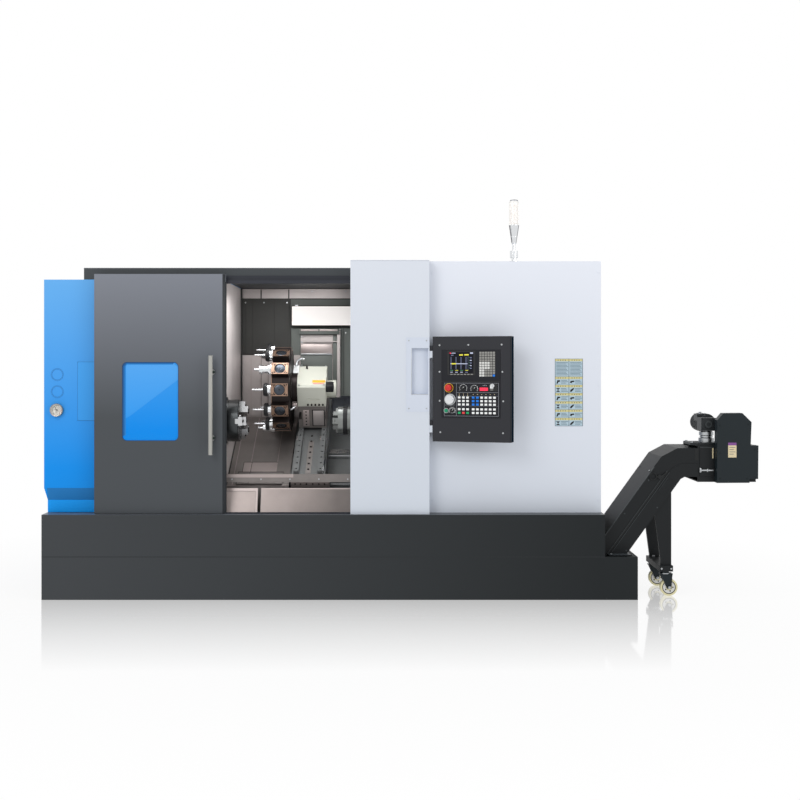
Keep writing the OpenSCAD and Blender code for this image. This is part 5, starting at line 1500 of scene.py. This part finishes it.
@dataclass
class BaseAndBack:
    """Joints of the base, the header's edge and the fittings of the rear covers.

    Attributes:
        front: front face of the base, in millimetres.
        ends: left and right end of the base.
        tank_end: right end of the coolant tank.
        seam_z: height of the joint over the coolant tank.
        ledge_z: height of the ledge on the base.
        door_z: height of the middle of the rear doors and the cabinet's locks.
        rear_doors: left edge and width of each rear cover.
    """

    front: float = -260.0
    ends: Pair = (-1714.0, 1526.0)
    tank_end: float = 1714.6
    seam_z: float = 247.0
    ledge_z: float = 489.6
    door_z: float = 1150.0
    rear_doors: tuple[Pair, ...] = ((-1560.0, 640.0), (-820.0, 760.0), (60.0, 560.0))

    def base(self) -> None:
        """Shades the joint over the coolant tank, lays a painted highlight on the ledge, and fits the tank's
        drain, sight glass and lid.
        """
        shape = Shape()
        (x0, x1), front, end = self.ends, self.front, self.tank_end
        shape.block((x0, front - 0.4, self.seam_z - 1.6), (x1, front + 0.5, self.seam_z + 1.8), BASE_SEAM)
        ledge = self.ledge_z
        # A painted highlight along the base's ledge.
        shape.block((x0 - 1, front + 0.2, ledge - 2.2), (x1 + 1, front + 108, ledge), LEDGE_HIGHLIGHT)
        # The tank's lid takes the grey of the painted highlight.
        shape.block((1560, -200, 246.6), (1690, 120, 249.4), LEDGE_HIGHLIGHT, 0.6)
        for y in (-170, 90):
            shape.bolt((1576, y, 249.2), UP, 6.0, ZINC)
        shape.disc((end, -120, 70), RIGHT, 17.0, 9.0, ZINC, 6, 1.5, True)
        shape.block((end, 150, 60), (end + 2.8, 186, 200), ZINC, 1.0)
        shape.block((end + 2.2, 158, 72), (end + 3.8, 178, 188), LENS, 0.5)
        shape.done("base_trim", "dark_enamel")

    def header(self) -> None:
        """Edges the roof header with a painted highlight and bolts the door's upper rail."""
        shape = Shape()
        (x0, front, _), (x1, _, top) = span("roof_header")
        shape.block((x0 + 1, front - 0.6, top - 6), (x1 - 1, front + 0.6, top - 3.4), LEDGE_HIGHLIGHT)
        for n in range(7):
            shape.bolt((x0 + 80 + n * (x1 - x0 - 160) / 6, 300, top - 0.2), UP, 7.0, ZINC, False)
        shape.done("header_trim", "dark_enamel")

    def back(self) -> None:
        """Fits locks, hinges and the cable entry of the rear and of the electrical cabinet."""
        (x0, _, _), (x1, y, top) = span("electrical_cabinet")
        shape = Shape()
        for x in (x0 + 6, x1 - 20):
            for z in (self.door_z - 510, self.door_z, self.door_z + 510):
                shape.disc((x + 7, y + 1, z), UP, 7.0, 60.0, ZINC, 16, 1.0)
        for x in ((x0 + x1) / 2 - 42, (x0 + x1) / 2 + 42):
            shape.disc((x, y - 2, self.door_z), BACK, 12.0, 12.0, BLACK_PLASTIC, 24, 1.5)
            shape.block((x - 5, y + 9, 1080), (x + 5, y + 17, 1160), BLACK_PLASTIC, 2.5)
        shape.block((x0 + 320, y - 120, top - 1), (x0 + 600, y - 60, top + 3), ZINC, 1.0)
        for n in range(5):
            shape.disc((x1 - 0.5, 1240 + 34 * n, 560), RIGHT, 11.0, 12.0, BLACK_PLASTIC, 6, 1.5, True)
        shape.done("electrical_cabinet_fittings", "black_plastic")
        rear = Shape()
        wall = span("rear_cover")[1][1]
        for x, wide in self.rear_doors:
            for corner_x in (x + 16, x + wide - 16):
                for z in (self.door_z - 574, self.door_z, self.door_z + 574):
                    rear.bolt((corner_x, wall - 0.3, z), BACK, 6.0, ZINC)
            middle = x + wide / 2
            rear.block((middle - 50, wall - 0.3, 1500), (middle + 50, wall + 14, 1514), BLACK_PLASTIC, 3.0)
        rear.done("rear_cover_fittings", "zinc")

    def build(self) -> None:
        """Dresses the base and the back."""
        self.base()
        self.header()
        self.back()


@dataclass
class Cabinet:
    """Gauge, seams, bevel, louvres and bar opening of the blue headstock cabinet.

    Attributes:
        gauge: middle of the pressure gauge in X and Z, in millimetres.
        front: front face of the cabinet.
        left: left face of the cabinet.
        right: where the cabinet's front goes behind the door.
        blanks: heights of the two pressed blanks.
        blank_r: radius of a blank.
        bevel: foot and top of the bevel.
        bevel_in: how far the bevel goes in.
        foot: height of the cabinet's foot.
    """

    gauge: Pair = (-1655.0, 1088.0)
    front: float = -150.0
    left: float = -1732.0
    right: float = -690.0
    blanks: tuple[float, ...] = (1295.0, 1195.0)
    blank_r: float = 35.0
    bevel: Pair = (562.0, 633.0)
    bevel_in: float = 17.0
    foot: float = 491.0

    def dial(self) -> None:
        """Prints the gauge's dial and closes its case with a glass."""
        x, z = self.gauge
        shape = Shape()
        shape.disc((x, self.front - 7.5, z), FRONT, 33.0, 1.2, DIAL_WHITE, 48)
        for step in range(31):
            turn = math.radians(225 - 9 * step)
            long = 6.0 if step % 5 == 0 else 3.4
            finish = RED_KEY if step > 24 else BLACK_PLASTIC
            radius = 0.8 if step % 5 else 1.1
            shape.tick((x, self.front - 8.9, z), turn, 28.5, 28.5 - long, radius, finish, 4)
        profile = [(36.5, 0), (37.5, 2), (38.5, 14), (37.7, 21), (36, 23), (33.4, 22), (33.4, 20), (37, 0)]
        shape.turned((x, self.front - 0.3, z), FRONT, profile, GAUGE_NICKEL, 48)
        shape.done("gauge_dial", "steel_bright")
        glass = Shape()
        glass.disc((x, self.front - 19.0, z), FRONT, 33.2, 2.0, LENS, 48, 0.5)
        glass.done("gauge_glass", "lens_plastic")

    def seams(self) -> None:
        """Shades the joint round the service panel and the two pressed blanks."""
        shape = Shape()
        (x0, _, z0), (x1, _, z1) = span("service_panel")
        for a, b in (((x0 - 2.4, z0 - 2.4), (x0 - 0.2, z1 + 2.4)), ((x0 - 2.4, z0 - 2.4), (x1, z0 - 0.4)),
                     ((x0 - 2.4, z1 + 0.4), (x1, z1 + 2.0))):
            shape.block((a[0], self.front - 1.2, a[1]), (b[0], self.front + 0.5, b[1]), BLUE_SEAM)
        for z in self.blanks:
            for inner, outer, height in ((-0.8, 1.6, 1.6), (-5.0, -3.0, 1.0)):
                shape.ring((self.gauge[0], self.front + 0.2, z), FRONT, self.blank_r + inner,
                           self.blank_r + outer, height, BLUE_SEAM, 48)
        shape.done("cabinet_seams", "blue_enamel")

    def bevel_band(self) -> None:
        """Lays painted shade on the bevel, which faces the floor, and painted light on the foot below it."""
        shape = Shape()
        front, foot = self.front - 0.4, self.front + self.bevel_in - 0.4
        left = self.left + self.bevel_in
        # Painted shade on the bevel.
        shape.prism([(front, self.bevel[1]), (front + 0.7, self.bevel[1]), (foot + 0.7, self.bevel[0]),
                     (foot, self.bevel[0])], Plane.YZ, left, self.right, BLUE_BEVEL_SHADE)
        # Painted light on the foot.
        shape.block((left, foot - 0.4, self.foot), (self.right, foot + 0.7, self.bevel[0] - 1), BLUE_FOOT_LIGHT)
        shape.done("cabinet_bevel_shade_and_foot_light", "blue_enamel")

    def left_side(self) -> None:
        """Rings the bar feed opening and sets the louvres in the left side."""
        shape = Shape()
        shape.ring((self.left + 1.0, 0, AXIS_Z), LEFT, 60, 96, 4.0, BLUE_ENAMEL, 48)
        for z, y in around(6, 84):
            shape.bolt((self.left - 2.8, y, AXIS_Z + z), LEFT, 5.0, ZINC)
        for n in range(14):
            z = 700 + 26 * n
            louvre = [(self.left + 0.5, z), (self.left - 5.0, z + 2), (self.left + 0.5, z + 17)]
            shape.prism(louvre, Plane.XZ, 520, 920, BLUE_ENAMEL)
        for y in (420, 470, 960, 1010):
            for z in (640, 1260):
                shape.bolt((self.left + 0.2, y, z), LEFT, 5.0, ZINC)
        shape.done("cabinet_left_side", "blue_enamel")

    def build(self) -> None:
        """Dresses the cabinet."""
        self.dial()
        self.seams()
        self.bevel_band()
        self.left_side()


@dataclass
class SlidingDoor:
    """Window gasket, pane sheen, handle mounts and edges of the sliding door.

    Attributes:
        corner: radius of the window's corners, in millimetres.
        front: front face of the door at rest.
        handle_x: middle of the handle's bar.
        handle_z: heights of the handle's stand-offs.
        shade: depth, finish and lift of each band of shade on the pane's rim.
    """

    corner: float = 28.0
    front: float = -227.0
    handle_x: float = -741.0
    handle_z: Pair = (930.0, 1310.0)
    shade: tuple[tuple[float, Finish, float], ...] = (
        (7.0, WINDOW_RIM, 4.2), (14.0, WINDOW_SHADE, 4.6), (21.0, WINDOW_DUSK, 5.0))

    def gasket(self) -> None:
        """Lines the window's cut-out with a bead, lays bands of painted shade on the pane's rim and the
        sheen that slants across the pane.
        """
        (x0, _, z0), (x1, _, z1) = span("door_glass")
        corner, front = self.corner, self.front
        round_r = corner - 1
        loop = []
        for cx, cz, start in ((x1 - corner, z1 - corner, 0), (x0 + corner, z1 - corner, 90),
                              (x0 + corner, z0 + corner, 180), (x1 - corner, z0 + corner, 270)):
            for step in range(9):
                turn = math.radians(start + step * 11.25)
                loop.append((cx + round_r * math.cos(turn), front + 4.4, cz + round_r * math.sin(turn)))
        shape = Shape()
        shape.hose([*loop, loop[0]], 2.4, WINDOW_RIM, 10, 1)
        for deep, finish, lift in self.shade:
            cut = corner * 0.9
            inner = z1 - deep * 0.7
            side = [(x0 + 1, z0 + cut), (x0 + deep, z0 + cut + 8), (x0 + deep, z1 - cut), (x0 + 1, z1 - cut)]
            bend = [(x0 + 1, z1 - cut), (x0 + deep, z1 - cut), (x0 + cut, inner), (x0 + cut, z1 - 1),
                    (x0 + cut * 0.3, z1 - cut * 0.3)]
            top = [(x0 + cut, inner), (x1 - cut - 8, inner), (x1 - cut, z1 - 1), (x0 + cut, z1 - 1)]
            for outline in (side, bend, top):
                shape.prism(outline, Plane.XZ, front + lift, front + 5.9, finish)
        shape.done("window_gasket", "black_plastic", "door")
        sheen = Shape()
        sheen.prism([(x0 + 9, z0 + 124), (x0 + 45, z0 + 144), (x1 - 3, z0 + 354), (x1 - 3, z1 - corner),
                     (x1 - corner, z1 - 9), (x0 + corner + 4, z1 - 9), (x0 + 9, z1 - corner - 8)], Plane.XZ,
                    self.front + 5.2, self.front + 5.7, PANE_SHEEN)
        sheen.done("window_sheen", "window_glass", "door")

    def handle_mounts(self) -> None:
        """Seats the handle's two stand-offs and caps the bar's ends."""
        shape = Shape()
        foot, top = (corner[2] for corner in span("door_handle"))
        for z in self.handle_z:
            shape.disc((self.handle_x + 14, self.front + 0.4, z), FRONT, 8.0, 30.0, HANDLE_MOUNT, 24, 1.5)
            shape.ring((self.handle_x, self.front + 0.2, z), FRONT, 14.5, 19.0, 4.0, ZINC)
        for z, way in ((foot, -1), (top, 1)):
            cap = (self.handle_x, self.front - 50, z - way)
            shape.disc(cap, (0, 0, way), 12.9, 1.4, HANDLE_STEEL, 32, 0.4)
        shape.done("handle_mounts", "steel_bright", "door")

    def edges(self) -> None:
        """Fits the rubber closing edge, the painted shade on the chamfer and the screws along the hanger."""
        shape = Shape()
        (x0, _, z0), (x1, back, z1) = span("door_panel")
        front = self.front
        shape.block((x1 - 0.4, front + 17, z0 + 6), (x1 + 5.0, front + 33, z1 - 44), DOOR_EDGE, 1.5)
        # Painted shade on the door's chamfer.
        shape.prism([(x1 - 14.6, front - 0.7), (x1 + 0.7, front + 14.6), (x1 - 0.4, front + 14.6),
                     (x1 - 14.6, front + 0.4)], Plane.XY, z0 + 0.5, z1 - 0.5, DOOR_EDGE)
        for n in range(5):
            shape.bolt((x0 + 60 + n * (x1 - x0 - 120) / 4, back - 0.2, z1 - 60), BACK, 6.0, ZINC, False)
        shape.done("door_edges", "black_plastic", "door")

    def build(self) -> None:
        """Dresses the door."""
        self.gasket()
        self.handle_mounts()
        self.edges()


@dataclass
class RightCovers:
    """Chart, screws, seams and grip of the white covers on the right.

    Attributes:
        front: front face of the wide cover, in millimetres.
        proud: front face of the cover that stands proud.
        chart: left edge, foot, width and height of the wall chart.
        chart_rows: pitch of the chart's rows below the first.
        first_row: height of the chart's first row.
        signs: outlines of the four plain signs.
        lip: ends of the grip pocket's trim in X, its foot and its top.
    """

    front: float = -151.0
    proud: float = -237.0
    chart: tuple[float, ...] = (1252.0, 994.0, 162.0, 394.0)
    chart_rows: float = 48.0
    first_row: float = 104.0
    signs: tuple[tuple[Pair, ...], ...] = (
        ((0, 0), (12, 11), (24, 0), (24, 22), (12, 11), (0, 22)),
        ((0, 2), (8, 0), (22, 14), (26, 24), (14, 20), (4, 12)),
        ((2, 0), (10, 0), (14, 10), (24, 12), (24, 20), (8, 20)),
        ((0, 6), (10, 2), (12, 8), (26, 10), (24, 18), (4, 16)))
    lip: tuple[float, ...] = (413.0, 512.0, 1180.0, 1448.0)

    def wall_chart(self) -> None:
        """Prints the chart: two columns of plain fields under striped headings, with signs and lines."""
        x, z, wide, high = self.chart
        y = self.front
        shape = Shape()
        shape.block((x, y - 0.8, z), (x + wide, y + 0.3, z + high), PLATE_BLUE)
        tops = [z + high] + [z + high - self.first_row - self.chart_rows * n for n in range(6)]
        for row, top in enumerate(tops):
            foot = tops[row + 1] if row < 6 else z
            shape.block((x, y - 1.1, top - 15), (x + wide, y - 0.6, top - 2), PLATE_YELLOW)
            shape.block((x, y - 1.2, top - 2), (x + wide, y - 0.6, top - 0.6), PLATE_INK)
            for column in range(2):
                left, right = x + 4 + column * wide / 2, x + (column + 1) * wide / 2 - 5
                for dot in range(4):
                    start = left + 12 + 14 * dot
                    shape.block((start, y - 1.3, top - 11), (start + 5, y - 0.7, top - 6), PLATE_INK)
                text = left + (4 if row == 0 else 32)
                for line in range(int((top - foot - 22) / 8)):
                    end = right - 5 * ((line * 2 + row + column) % 3)
                    low = top - 24 - 8 * line
                    shape.block((text, y - 1.2, low), (end, y - 0.7, low + 2.4), PLATE_INK)
                if row:
                    self.sign(shape, left + 2, foot + 6, (row * 2 + column) % 4)
        for edge in (x, x + wide / 2 - 1, x + wide - 2):
            shape.block((edge, y - 1.4, z), (edge + 2.4, y - 0.6, z + high), PLATE_INK)
        shape.block((x, y - 1.2, z), (x + wide, y - 0.6, z + 2), PLATE_INK)
        shape.done("wall_chart", "white_enamel")

    def sign(self, shape: Shape, x: float, z: float, kind: int) -> None:
        """Prints one plain black sign of the chart.

        Args:
            shape: piece that takes it.
            x: its left edge.
            z: its foot.
            kind: which of four outlines it has.
        """
        outline = self.signs[kind]
        for part in (outline[:3], outline[3:]) if kind == 0 else (outline,):
            corners = [(x + a, z + b) for a, b in part]
            shape.prism(corners, Plane.XZ, self.front - 1.3, self.front - 0.7, BLACK_PLASTIC)

    def seams(self) -> None:
        """Shades the joints between the covers and puts in their screws."""
        shape = Shape()
        foot, top = (corner[2] for corner in span("right_cover"))
        shape.block((516.6, self.front - 0.6, foot), (519.4, self.front + 1.0, top - 1), WHITE_SEAM)
        shape.block((61.2, self.proud - 0.5, top - 5.0), (516.8, self.proud + 0.8, top - 3.6), WHITE_SEAM)
        for z in (560, 1230, 1890):
            shape.bolt((1506, self.front + 0.2, z), FRONT, 4.5, WHITE_ENAMEL)
            shape.bolt((535, self.front + 0.2, z), FRONT, 4.5, WHITE_ENAMEL)
        shape.done("cover_seams", "white_enamel")

    def grip(self) -> None:
        """Trims the grip pocket with a thin bright lip and two screws."""
        shape = Shape()
        y = span("grip_pocket")[0][1]
        x0, x1, foot, top = self.lip
        for low, high, finish in (
                ((x0, foot), (x0 + 2.6, top), ZINC), ((x0, top - 2.6), (x1, top), POCKET_SEAM),
                ((x0, foot), (x1, foot + 2.6), ZINC)):
            shape.block((low[0], y - 0.8, low[1]), (high[0], y + 1.2, high[1]), finish, 0.3)
        for z in (1100, 1492):
            shape.bolt((398, y + 0.2, z), FRONT, 4.0, ZINC)
            shape.bolt((500, y + 0.2, z), FRONT, 4.0, ZINC)
        shape.done("grip_trim", "zinc")

    def roof(self) -> None:
        """Sets the lifting eyes and the exhaust grille on the roof."""
        shape = Shape()
        top = span("right_cover")[1][2]
        for x in (640, 1420):
            for y in (240, 980):
                shape.disc((x, y, top - 0.3), UP, 20.0, 8.0, ZINC, 24, 1.5)
        shape.disc((1000, 460, top - 0.3), UP, 92.0, 10.0, WHITE_ENAMEL, 48, 2.0)
        for n in range(9):
            shape.block((925 + n * 17, 400, top + 9.5), (933 + n * 17, 520, top + 12), BLACK_PLASTIC, 0.8)
        shape.done("roof_fittings", "zinc")

    def build(self) -> None:
        """Dresses the covers."""
        self.wall_chart()
        self.seams()
        self.grip()
        self.roof()


@dataclass
class Conveyor:
    """Groove, lid joints, lifting ring, bolts, gearmotor and casters of the chip conveyor.

    Attributes:
        front: front face of its trough, in millimetres.
        width: width of the trough.
        line: middle line of the trough in X and Z, from the foot of the slope to the head.
        wheel: middle of the front caster's wheel in X and Z.
        lanes: middle of each caster in Y.
        lift: middle of the lifting ring in X and Z.
        rod: left end of the tension rod in X and its height.
        motor_axis: the gearmotor's upright axis in X and Y.
        guard_screws: places of the drive guard's screws.
    """

    front: float = -140.0
    width: float = 366.0
    line: tuple[Pair, ...] = ((1467.0, 104.0), (1932.0, 750.0), (1991.0, 781.0), (2089.0, 781.0))
    wheel: Pair = (1921.0, 50.5)
    lanes: Pair = (-120.0, 206.0)
    lift: Pair = (1826.0, 700.0)
    rod: Pair = (2098.0, 736.0)
    motor_axis: Pair = (2162.0, -44.0)
    guard_screws: tuple[Pair, ...] = (
        (2202, 1000), (2202, 840), (2202, 690), (2360, 690), (2404, 700), (2404, 860), (2366, 1008))

    def __post_init__(self) -> None:
        """Works out the direction of the slope."""
        a, b = (Vector(p) for p in self.line[:2])
        self.along = (b - a).normalized()
        self.across = Vector((-self.along.y, self.along.x))

    def on_slope(self, distance: float, offset: float) -> Pair:
        """Gives a point on the trough's side.

        Args:
            distance: how far up the slope it lies.
            offset: how far above the middle line.

        Returns:
            Its X and Z.
        """
        point = Vector(self.line[0]) + self.along * distance + self.across * offset
        return point.x, point.y

    def strip(self, shape: Shape, start: float, end: float, low: float, high: float, lift: float,
              finish: Finish) -> None:
        """Lays a flat strip along the trough's front face.

        Args:
            shape: piece that takes it.
            start: distance of its foot up the slope.
            end: distance of its top.
            low: offset of its lower edge.
            high: offset of its upper edge.
            lift: how far it stands off the face.
            finish: its finish.
        """
        outline = [self.on_slope(start, low), self.on_slope(end, low), self.on_slope(end, high),
                   self.on_slope(start, high)]
        shape.prism(outline, Plane.XZ, self.front - lift, self.front + 0.6, finish)

    def trough(self) -> None:
        """Folds the lid's lip, the chain groove, the side plate and the lid's screws."""
        shape = Shape()
        self.strip(shape, 116, 742, 80, 84, 4.0, CONVEYOR_EDGE)
        self.strip(shape, 60, 770, 0, 7, 1.0, GROOVE_BLACK)
        self.strip(shape, 60, 770, 7, 9.5, 3.0, CONVEYOR_EDGE)
        self.strip(shape, 60, 770, -8.5, -6, 4.2, CONVEYOR_EDGE)
        self.strip(shape, 640, 740, -60, -18, 5.2, CONVEYOR_ENAMEL)
        self.strip(shape, 640, 740, -19.6, -18, 5.6, CONVEYOR_EDGE)
        for distance, offset in ((180, 64), (420, 64), (660, 64), (250, -70), (560, -70)):
            x, z = self.on_slope(distance, offset)
            shape.bolt((x, self.front + 0.2, z), FRONT, 5.0, CONVEYOR_EDGE, False)
        for end in (0, 1):
            x, z = self.on_slope(150 + 560 * end, 85)
            for y in (self.front + 30, self.front + self.width - 30):
                shape.bolt((x, y, z), (self.across.x, 0, self.across.y), 6.0, ZINC, False)
        shape.block((2072, self.front - 1.0, 793), (2092, self.front + 0.6, 862), GROOVE_BLACK, 0.5)
        shape.block((2100, self.front - 4.0, 700), (2182, self.front + 0.6, 872), CONVEYOR_ENAMEL, 1.0)
        shape.block((2100, self.front - 4.6, 868), (2182, self.front + 0.6, 872), CONVEYOR_EDGE, 0.4)
        shape.done("conveyor_trim", "dark_enamel")

    def lifting_ring(self) -> None:
        """Hangs the ring and its clamp beside the groove, and the tension rod at the head."""
        shape = Shape()
        x, z = self.lift
        loop = [(x + a, self.front - 5.5, z + b) for a, b in around(20, 20)]
        shape.hose([*loop, loop[0]], 3.6, GROOVE_BLACK, 8, 1)
        shape.disc((x + 40, self.front + 0.3, z - 4), FRONT, 13.0, 12.0, GROOVE_BLACK, 24, 2.0)
        front = self.front
        shackle = [(x + 20, front - 6, z - 2), (x + 44, front - 9, z - 4), (x + 78, front - 9, z + 22)]
        shape.hose(shackle, 4.5, GROOVE_BLACK, 10)
        rod_x, rod_z = self.rod
        shape.disc((rod_x, front - 10, rod_z), RIGHT, 5.0, 86.0, ZINC, 20, 1.0)
        for nut_x, radius, height in ((rod_x, 11.0, 9.0), (rod_x + 40, 10.0, 8.0)):
            shape.disc((nut_x, front - 10, rod_z), RIGHT, radius, height, ZINC, 6, 1.0, True)
        for lug_x, finish in ((rod_x - 2, ZINC), (rod_x + 78, CONVEYOR_ENAMEL)):
            shape.block((lug_x, front - 18, rod_z - 12), (lug_x + 8, front + 0.6, rod_z + 14), finish, 1.0)
        shape.block((2172, self.front - 4.6, 806), (2179, self.front - 3.8, 866), PLATE_CREAM)
        shape.done("conveyor_tension_rod", "zinc")

    def guard_plate(self) -> None:
        """Fixes the small bare plate and the guard's screws."""
        shape = Shape()
        y = span("drive_guard")[0][1]
        shape.block((2249, y - 0.9, 815), (2297, y + 0.3, 901), PLATE_CREAM)
        shape.block((2249, y - 1.1, 885), (2297, y - 0.6, 901), PLATE_PURPLE)
        for n in range(4):
            low = 872 - 13 * n
            shape.block((2256, y - 1.1, low), (2290 - 9 * (n % 2), y - 0.7, low + 3), PLATE_INK)
        for x, z in self.guard_screws:
            shape.bolt((x, y + 0.2, z), FRONT, 4.6, GUARD_ENAMEL)
        shape.done("guard_plate", "dark_enamel")

    def motor(self) -> None:
        """Fins the gearmotor and fits its fan cowl, terminal box and foot bolts."""
        shape = Shape()
        base = span("gearmotor")[0][2] + 14
        x, y = self.motor_axis
        for z, radius, rise in ((0, 45.5, 24), (28, 38, 10), (42, 42.5, 18), (66, 35, 6)):
            shape.ring((x, y, base + z - 0.5), UP, 31.0, radius, rise, ZINC, 48)
        for a, b in around(6, 38, 0.3):
            shape.bolt((x + a, y + b, base + 59.4), UP, 4.6, CHROME)
        for bolt_x in (2064, 2216):
            for bolt_y in (-100, 44):
                shape.bolt((bolt_x, bolt_y, base - 0.3), UP, 8.0, ZINC, False)
                shape.ring((bolt_x, bolt_y, base - 0.3), UP, 5.0, 11.0, 2.0, ZINC, 24)
        for bolt_x in (x - 34, x + 34):
            for z in (base + 78, base + 136):
                shape.bolt((bolt_x, -95.8, z), FRONT, 4.6, MOTOR_ENAMEL)
        shape.disc((x, -95.7, base + 106), FRONT, 24.0, 6.0, MOTOR_ENAMEL, 40, 1.5)
        shape.ring((x, -101.4, base + 106), FRONT, 12.0, 20.0, 2.0, CONVEYOR_EDGE, 40)
        cowl = [(52, -12), (56, 0), (55, 26), (44, 36), (0, 36)]
        shape.turned((x + 20, 186, base + 108.3), BACK, cowl, BLACK_PLASTIC, 40)
        shape.disc((x - 10, 60, base + 161), UP, 9.0, 14.0, CHROME, 6, 1.0, True)
        shape.disc((x + 24, 96, base + 158), UP, 11.0, 8.0, CHROME, 24, 1.0)
        shape.done("gearmotor_fittings", "dark_enamel")

    def casters(self) -> None:
        """Gives each caster its hub, tread shoulders, axle nut and bearing ring."""
        x, z = self.wheel
        shoulder = [(50.0, -3.0), (47.5, 1.2), (39.5, 1.6), (39.5, -1.0), (50.0, -3.0)]
        for which, y in zip(("front", "rear"), self.lanes):
            wheel = Shape()
            for side in (-1, 1):
                out = (0, side, 0)
                face = y + side * 15.5
                wheel.turned((x, face, z), out, shoulder, CREAM_TREAD, 48)
                wheel.ring((x, face - side * 1.2, z), out, 35.0, 39.6, 2.2, BLACK_PLASTIC, 48)
                wheel.ring((x, face - side * 1.2, z), out, 13.0, 35.2, 1.4, PALE_KEY, 48)
                for a, b in around(5, 23):
                    wheel.disc((x + a, face, z + b), out, 4.2, 1.0, BLACK_PLASTIC, 20, 0.3)
                wheel.ring((x, face - side * 1.0, z), out, 6.4, 13.4, 3.0, ZINC, 32)
            wheel.done(f"caster_hub_{which}", "caster_tread", f"wheel_{which}")
            fork = Shape()
            for side in (-1, 1):
                fork.disc((x, y + side * 24.6, z), (0, side, 0), 9.5, 7.0, ZINC, 6, 1.0, True)
                fork.disc((x, y + side * 31.0, z), (0, side, 0), 5.5, 4.0, ZINC, 20, 1.0)
            top = span(f"caster_fork_{which}")[1][2]
            fork.ring((x - 22, y, top - 35.4), UP, 24.0, 31.0, 5.0, ZINC, 40)
            fork.done(f"caster_fork_trim_{which}", "zinc", f"caster_{which}")

    def leg(self) -> None:
        """Puts the clamp bolts through the leg's cross bar."""
        shape = Shape()
        foot = span("conveyor_leg")[0][2]
        for y in (-150, 234):
            side = -1 if y < 0 else 1
            for x in (1874, 1930):
                shape.bolt((x, y + side * 3.5, foot + 17), (0, side, 0), 6.0, ZINC, False)
        for y in self.lanes:
            shape.disc((1899, y, foot + 33.6), UP, 15.0, 9.0, ZINC, 6, 1.0, True)
        shape.done("leg_bolts", "zinc")

    def build(self) -> None:
        """Dresses the conveyor."""
        self.trough()
        self.lifting_ring()
        self.guard_plate()
        self.motor()
        self.casters()
        self.leg()


@dataclass
class SignalLamp:
    """Core, rings and streaks of painted dark reflection of the signal lamp.

    Attributes:
        place: its axis in X and Y, in millimetres.
        base: height of the roof under it.
        core: radius and height of each point of the opal core.
        seams: height and radius of each chrome ring.
        reflection_streaks: angle of each streak of painted dark reflection from the front, in degrees.
        flare: radius and height of the base's outline that the streaks follow.
    """

    place: Pair = (1017.0, -100.0)
    base: float = 1957.3
    core: tuple[Pair, ...] = ((0, 0), (17, 0), (17, 112), (12, 122), (0, 124))
    seams: tuple[Pair, ...] = ((216.4, 30.2), (148.0, 21.2), (110.0, 14.6), (64.2, 24.0), (26.4, 24.0))
    reflection_streaks: tuple[float, ...] = (66, 76, 114, -66, -76, -114)
    flare: tuple[Pair, ...] = ((12.6, 109), (20.8, 162), (29.0, 214))

    def build(self) -> None:
        """Fits the diffuser core inside the lens, the rings of the base and the streaks of painted dark
        reflection.
        """
        x, y = self.place
        core = Shape()
        core.turned((x, y, self.base + 222), UP, self.core, LAMP_CORE, 32)
        core.done("signal_core", "lamp_diffuser")
        rings = Shape()
        for z, radius in self.seams:
            rings.ring((x, y, self.base + z - 2.6), UP, radius - 2.2, radius, 2.6, CHROME, 40)
        # Dark streaks of painted reflection on the chrome base.
        for angle in self.reflection_streaks:
            turn = math.radians(angle)
            route = [(x + r * math.sin(turn), y - r * math.cos(turn), self.base + z) for r, z in self.flare]
            rings.hose(route, 1.7, CHROME_DARK_REFLECTION, 8, 1)
        # A dark ring of painted reflection.
        rings.ring((x, y, self.base + 360.4), UP, 17.0, 22.4, 2.6, CHROME_DARK_REFLECTION, 40)
        for a, b in around(3, 24):
            rings.bolt((x + a, y + b, self.base + 3.8), UP, 3.2, ZINC)
        rings.done("signal_rings", "steel_bright")


def main() -> None:
    """Builds the picture and every sub-assembly."""
    logging.basicConfig(level=logging.INFO, format="%(name)s: %(message)s")
    Studio().build()
    FrameFinishes().build()
    Pendant().build()
    Turret().build()
    Interior().build()
    Cabinet().build()
    SlidingDoor().build()
    RightCovers().build()
    Conveyor().build()
    SignalLamp().build()
    BaseAndBack().build()


if __name__ == "__main__":
    main()
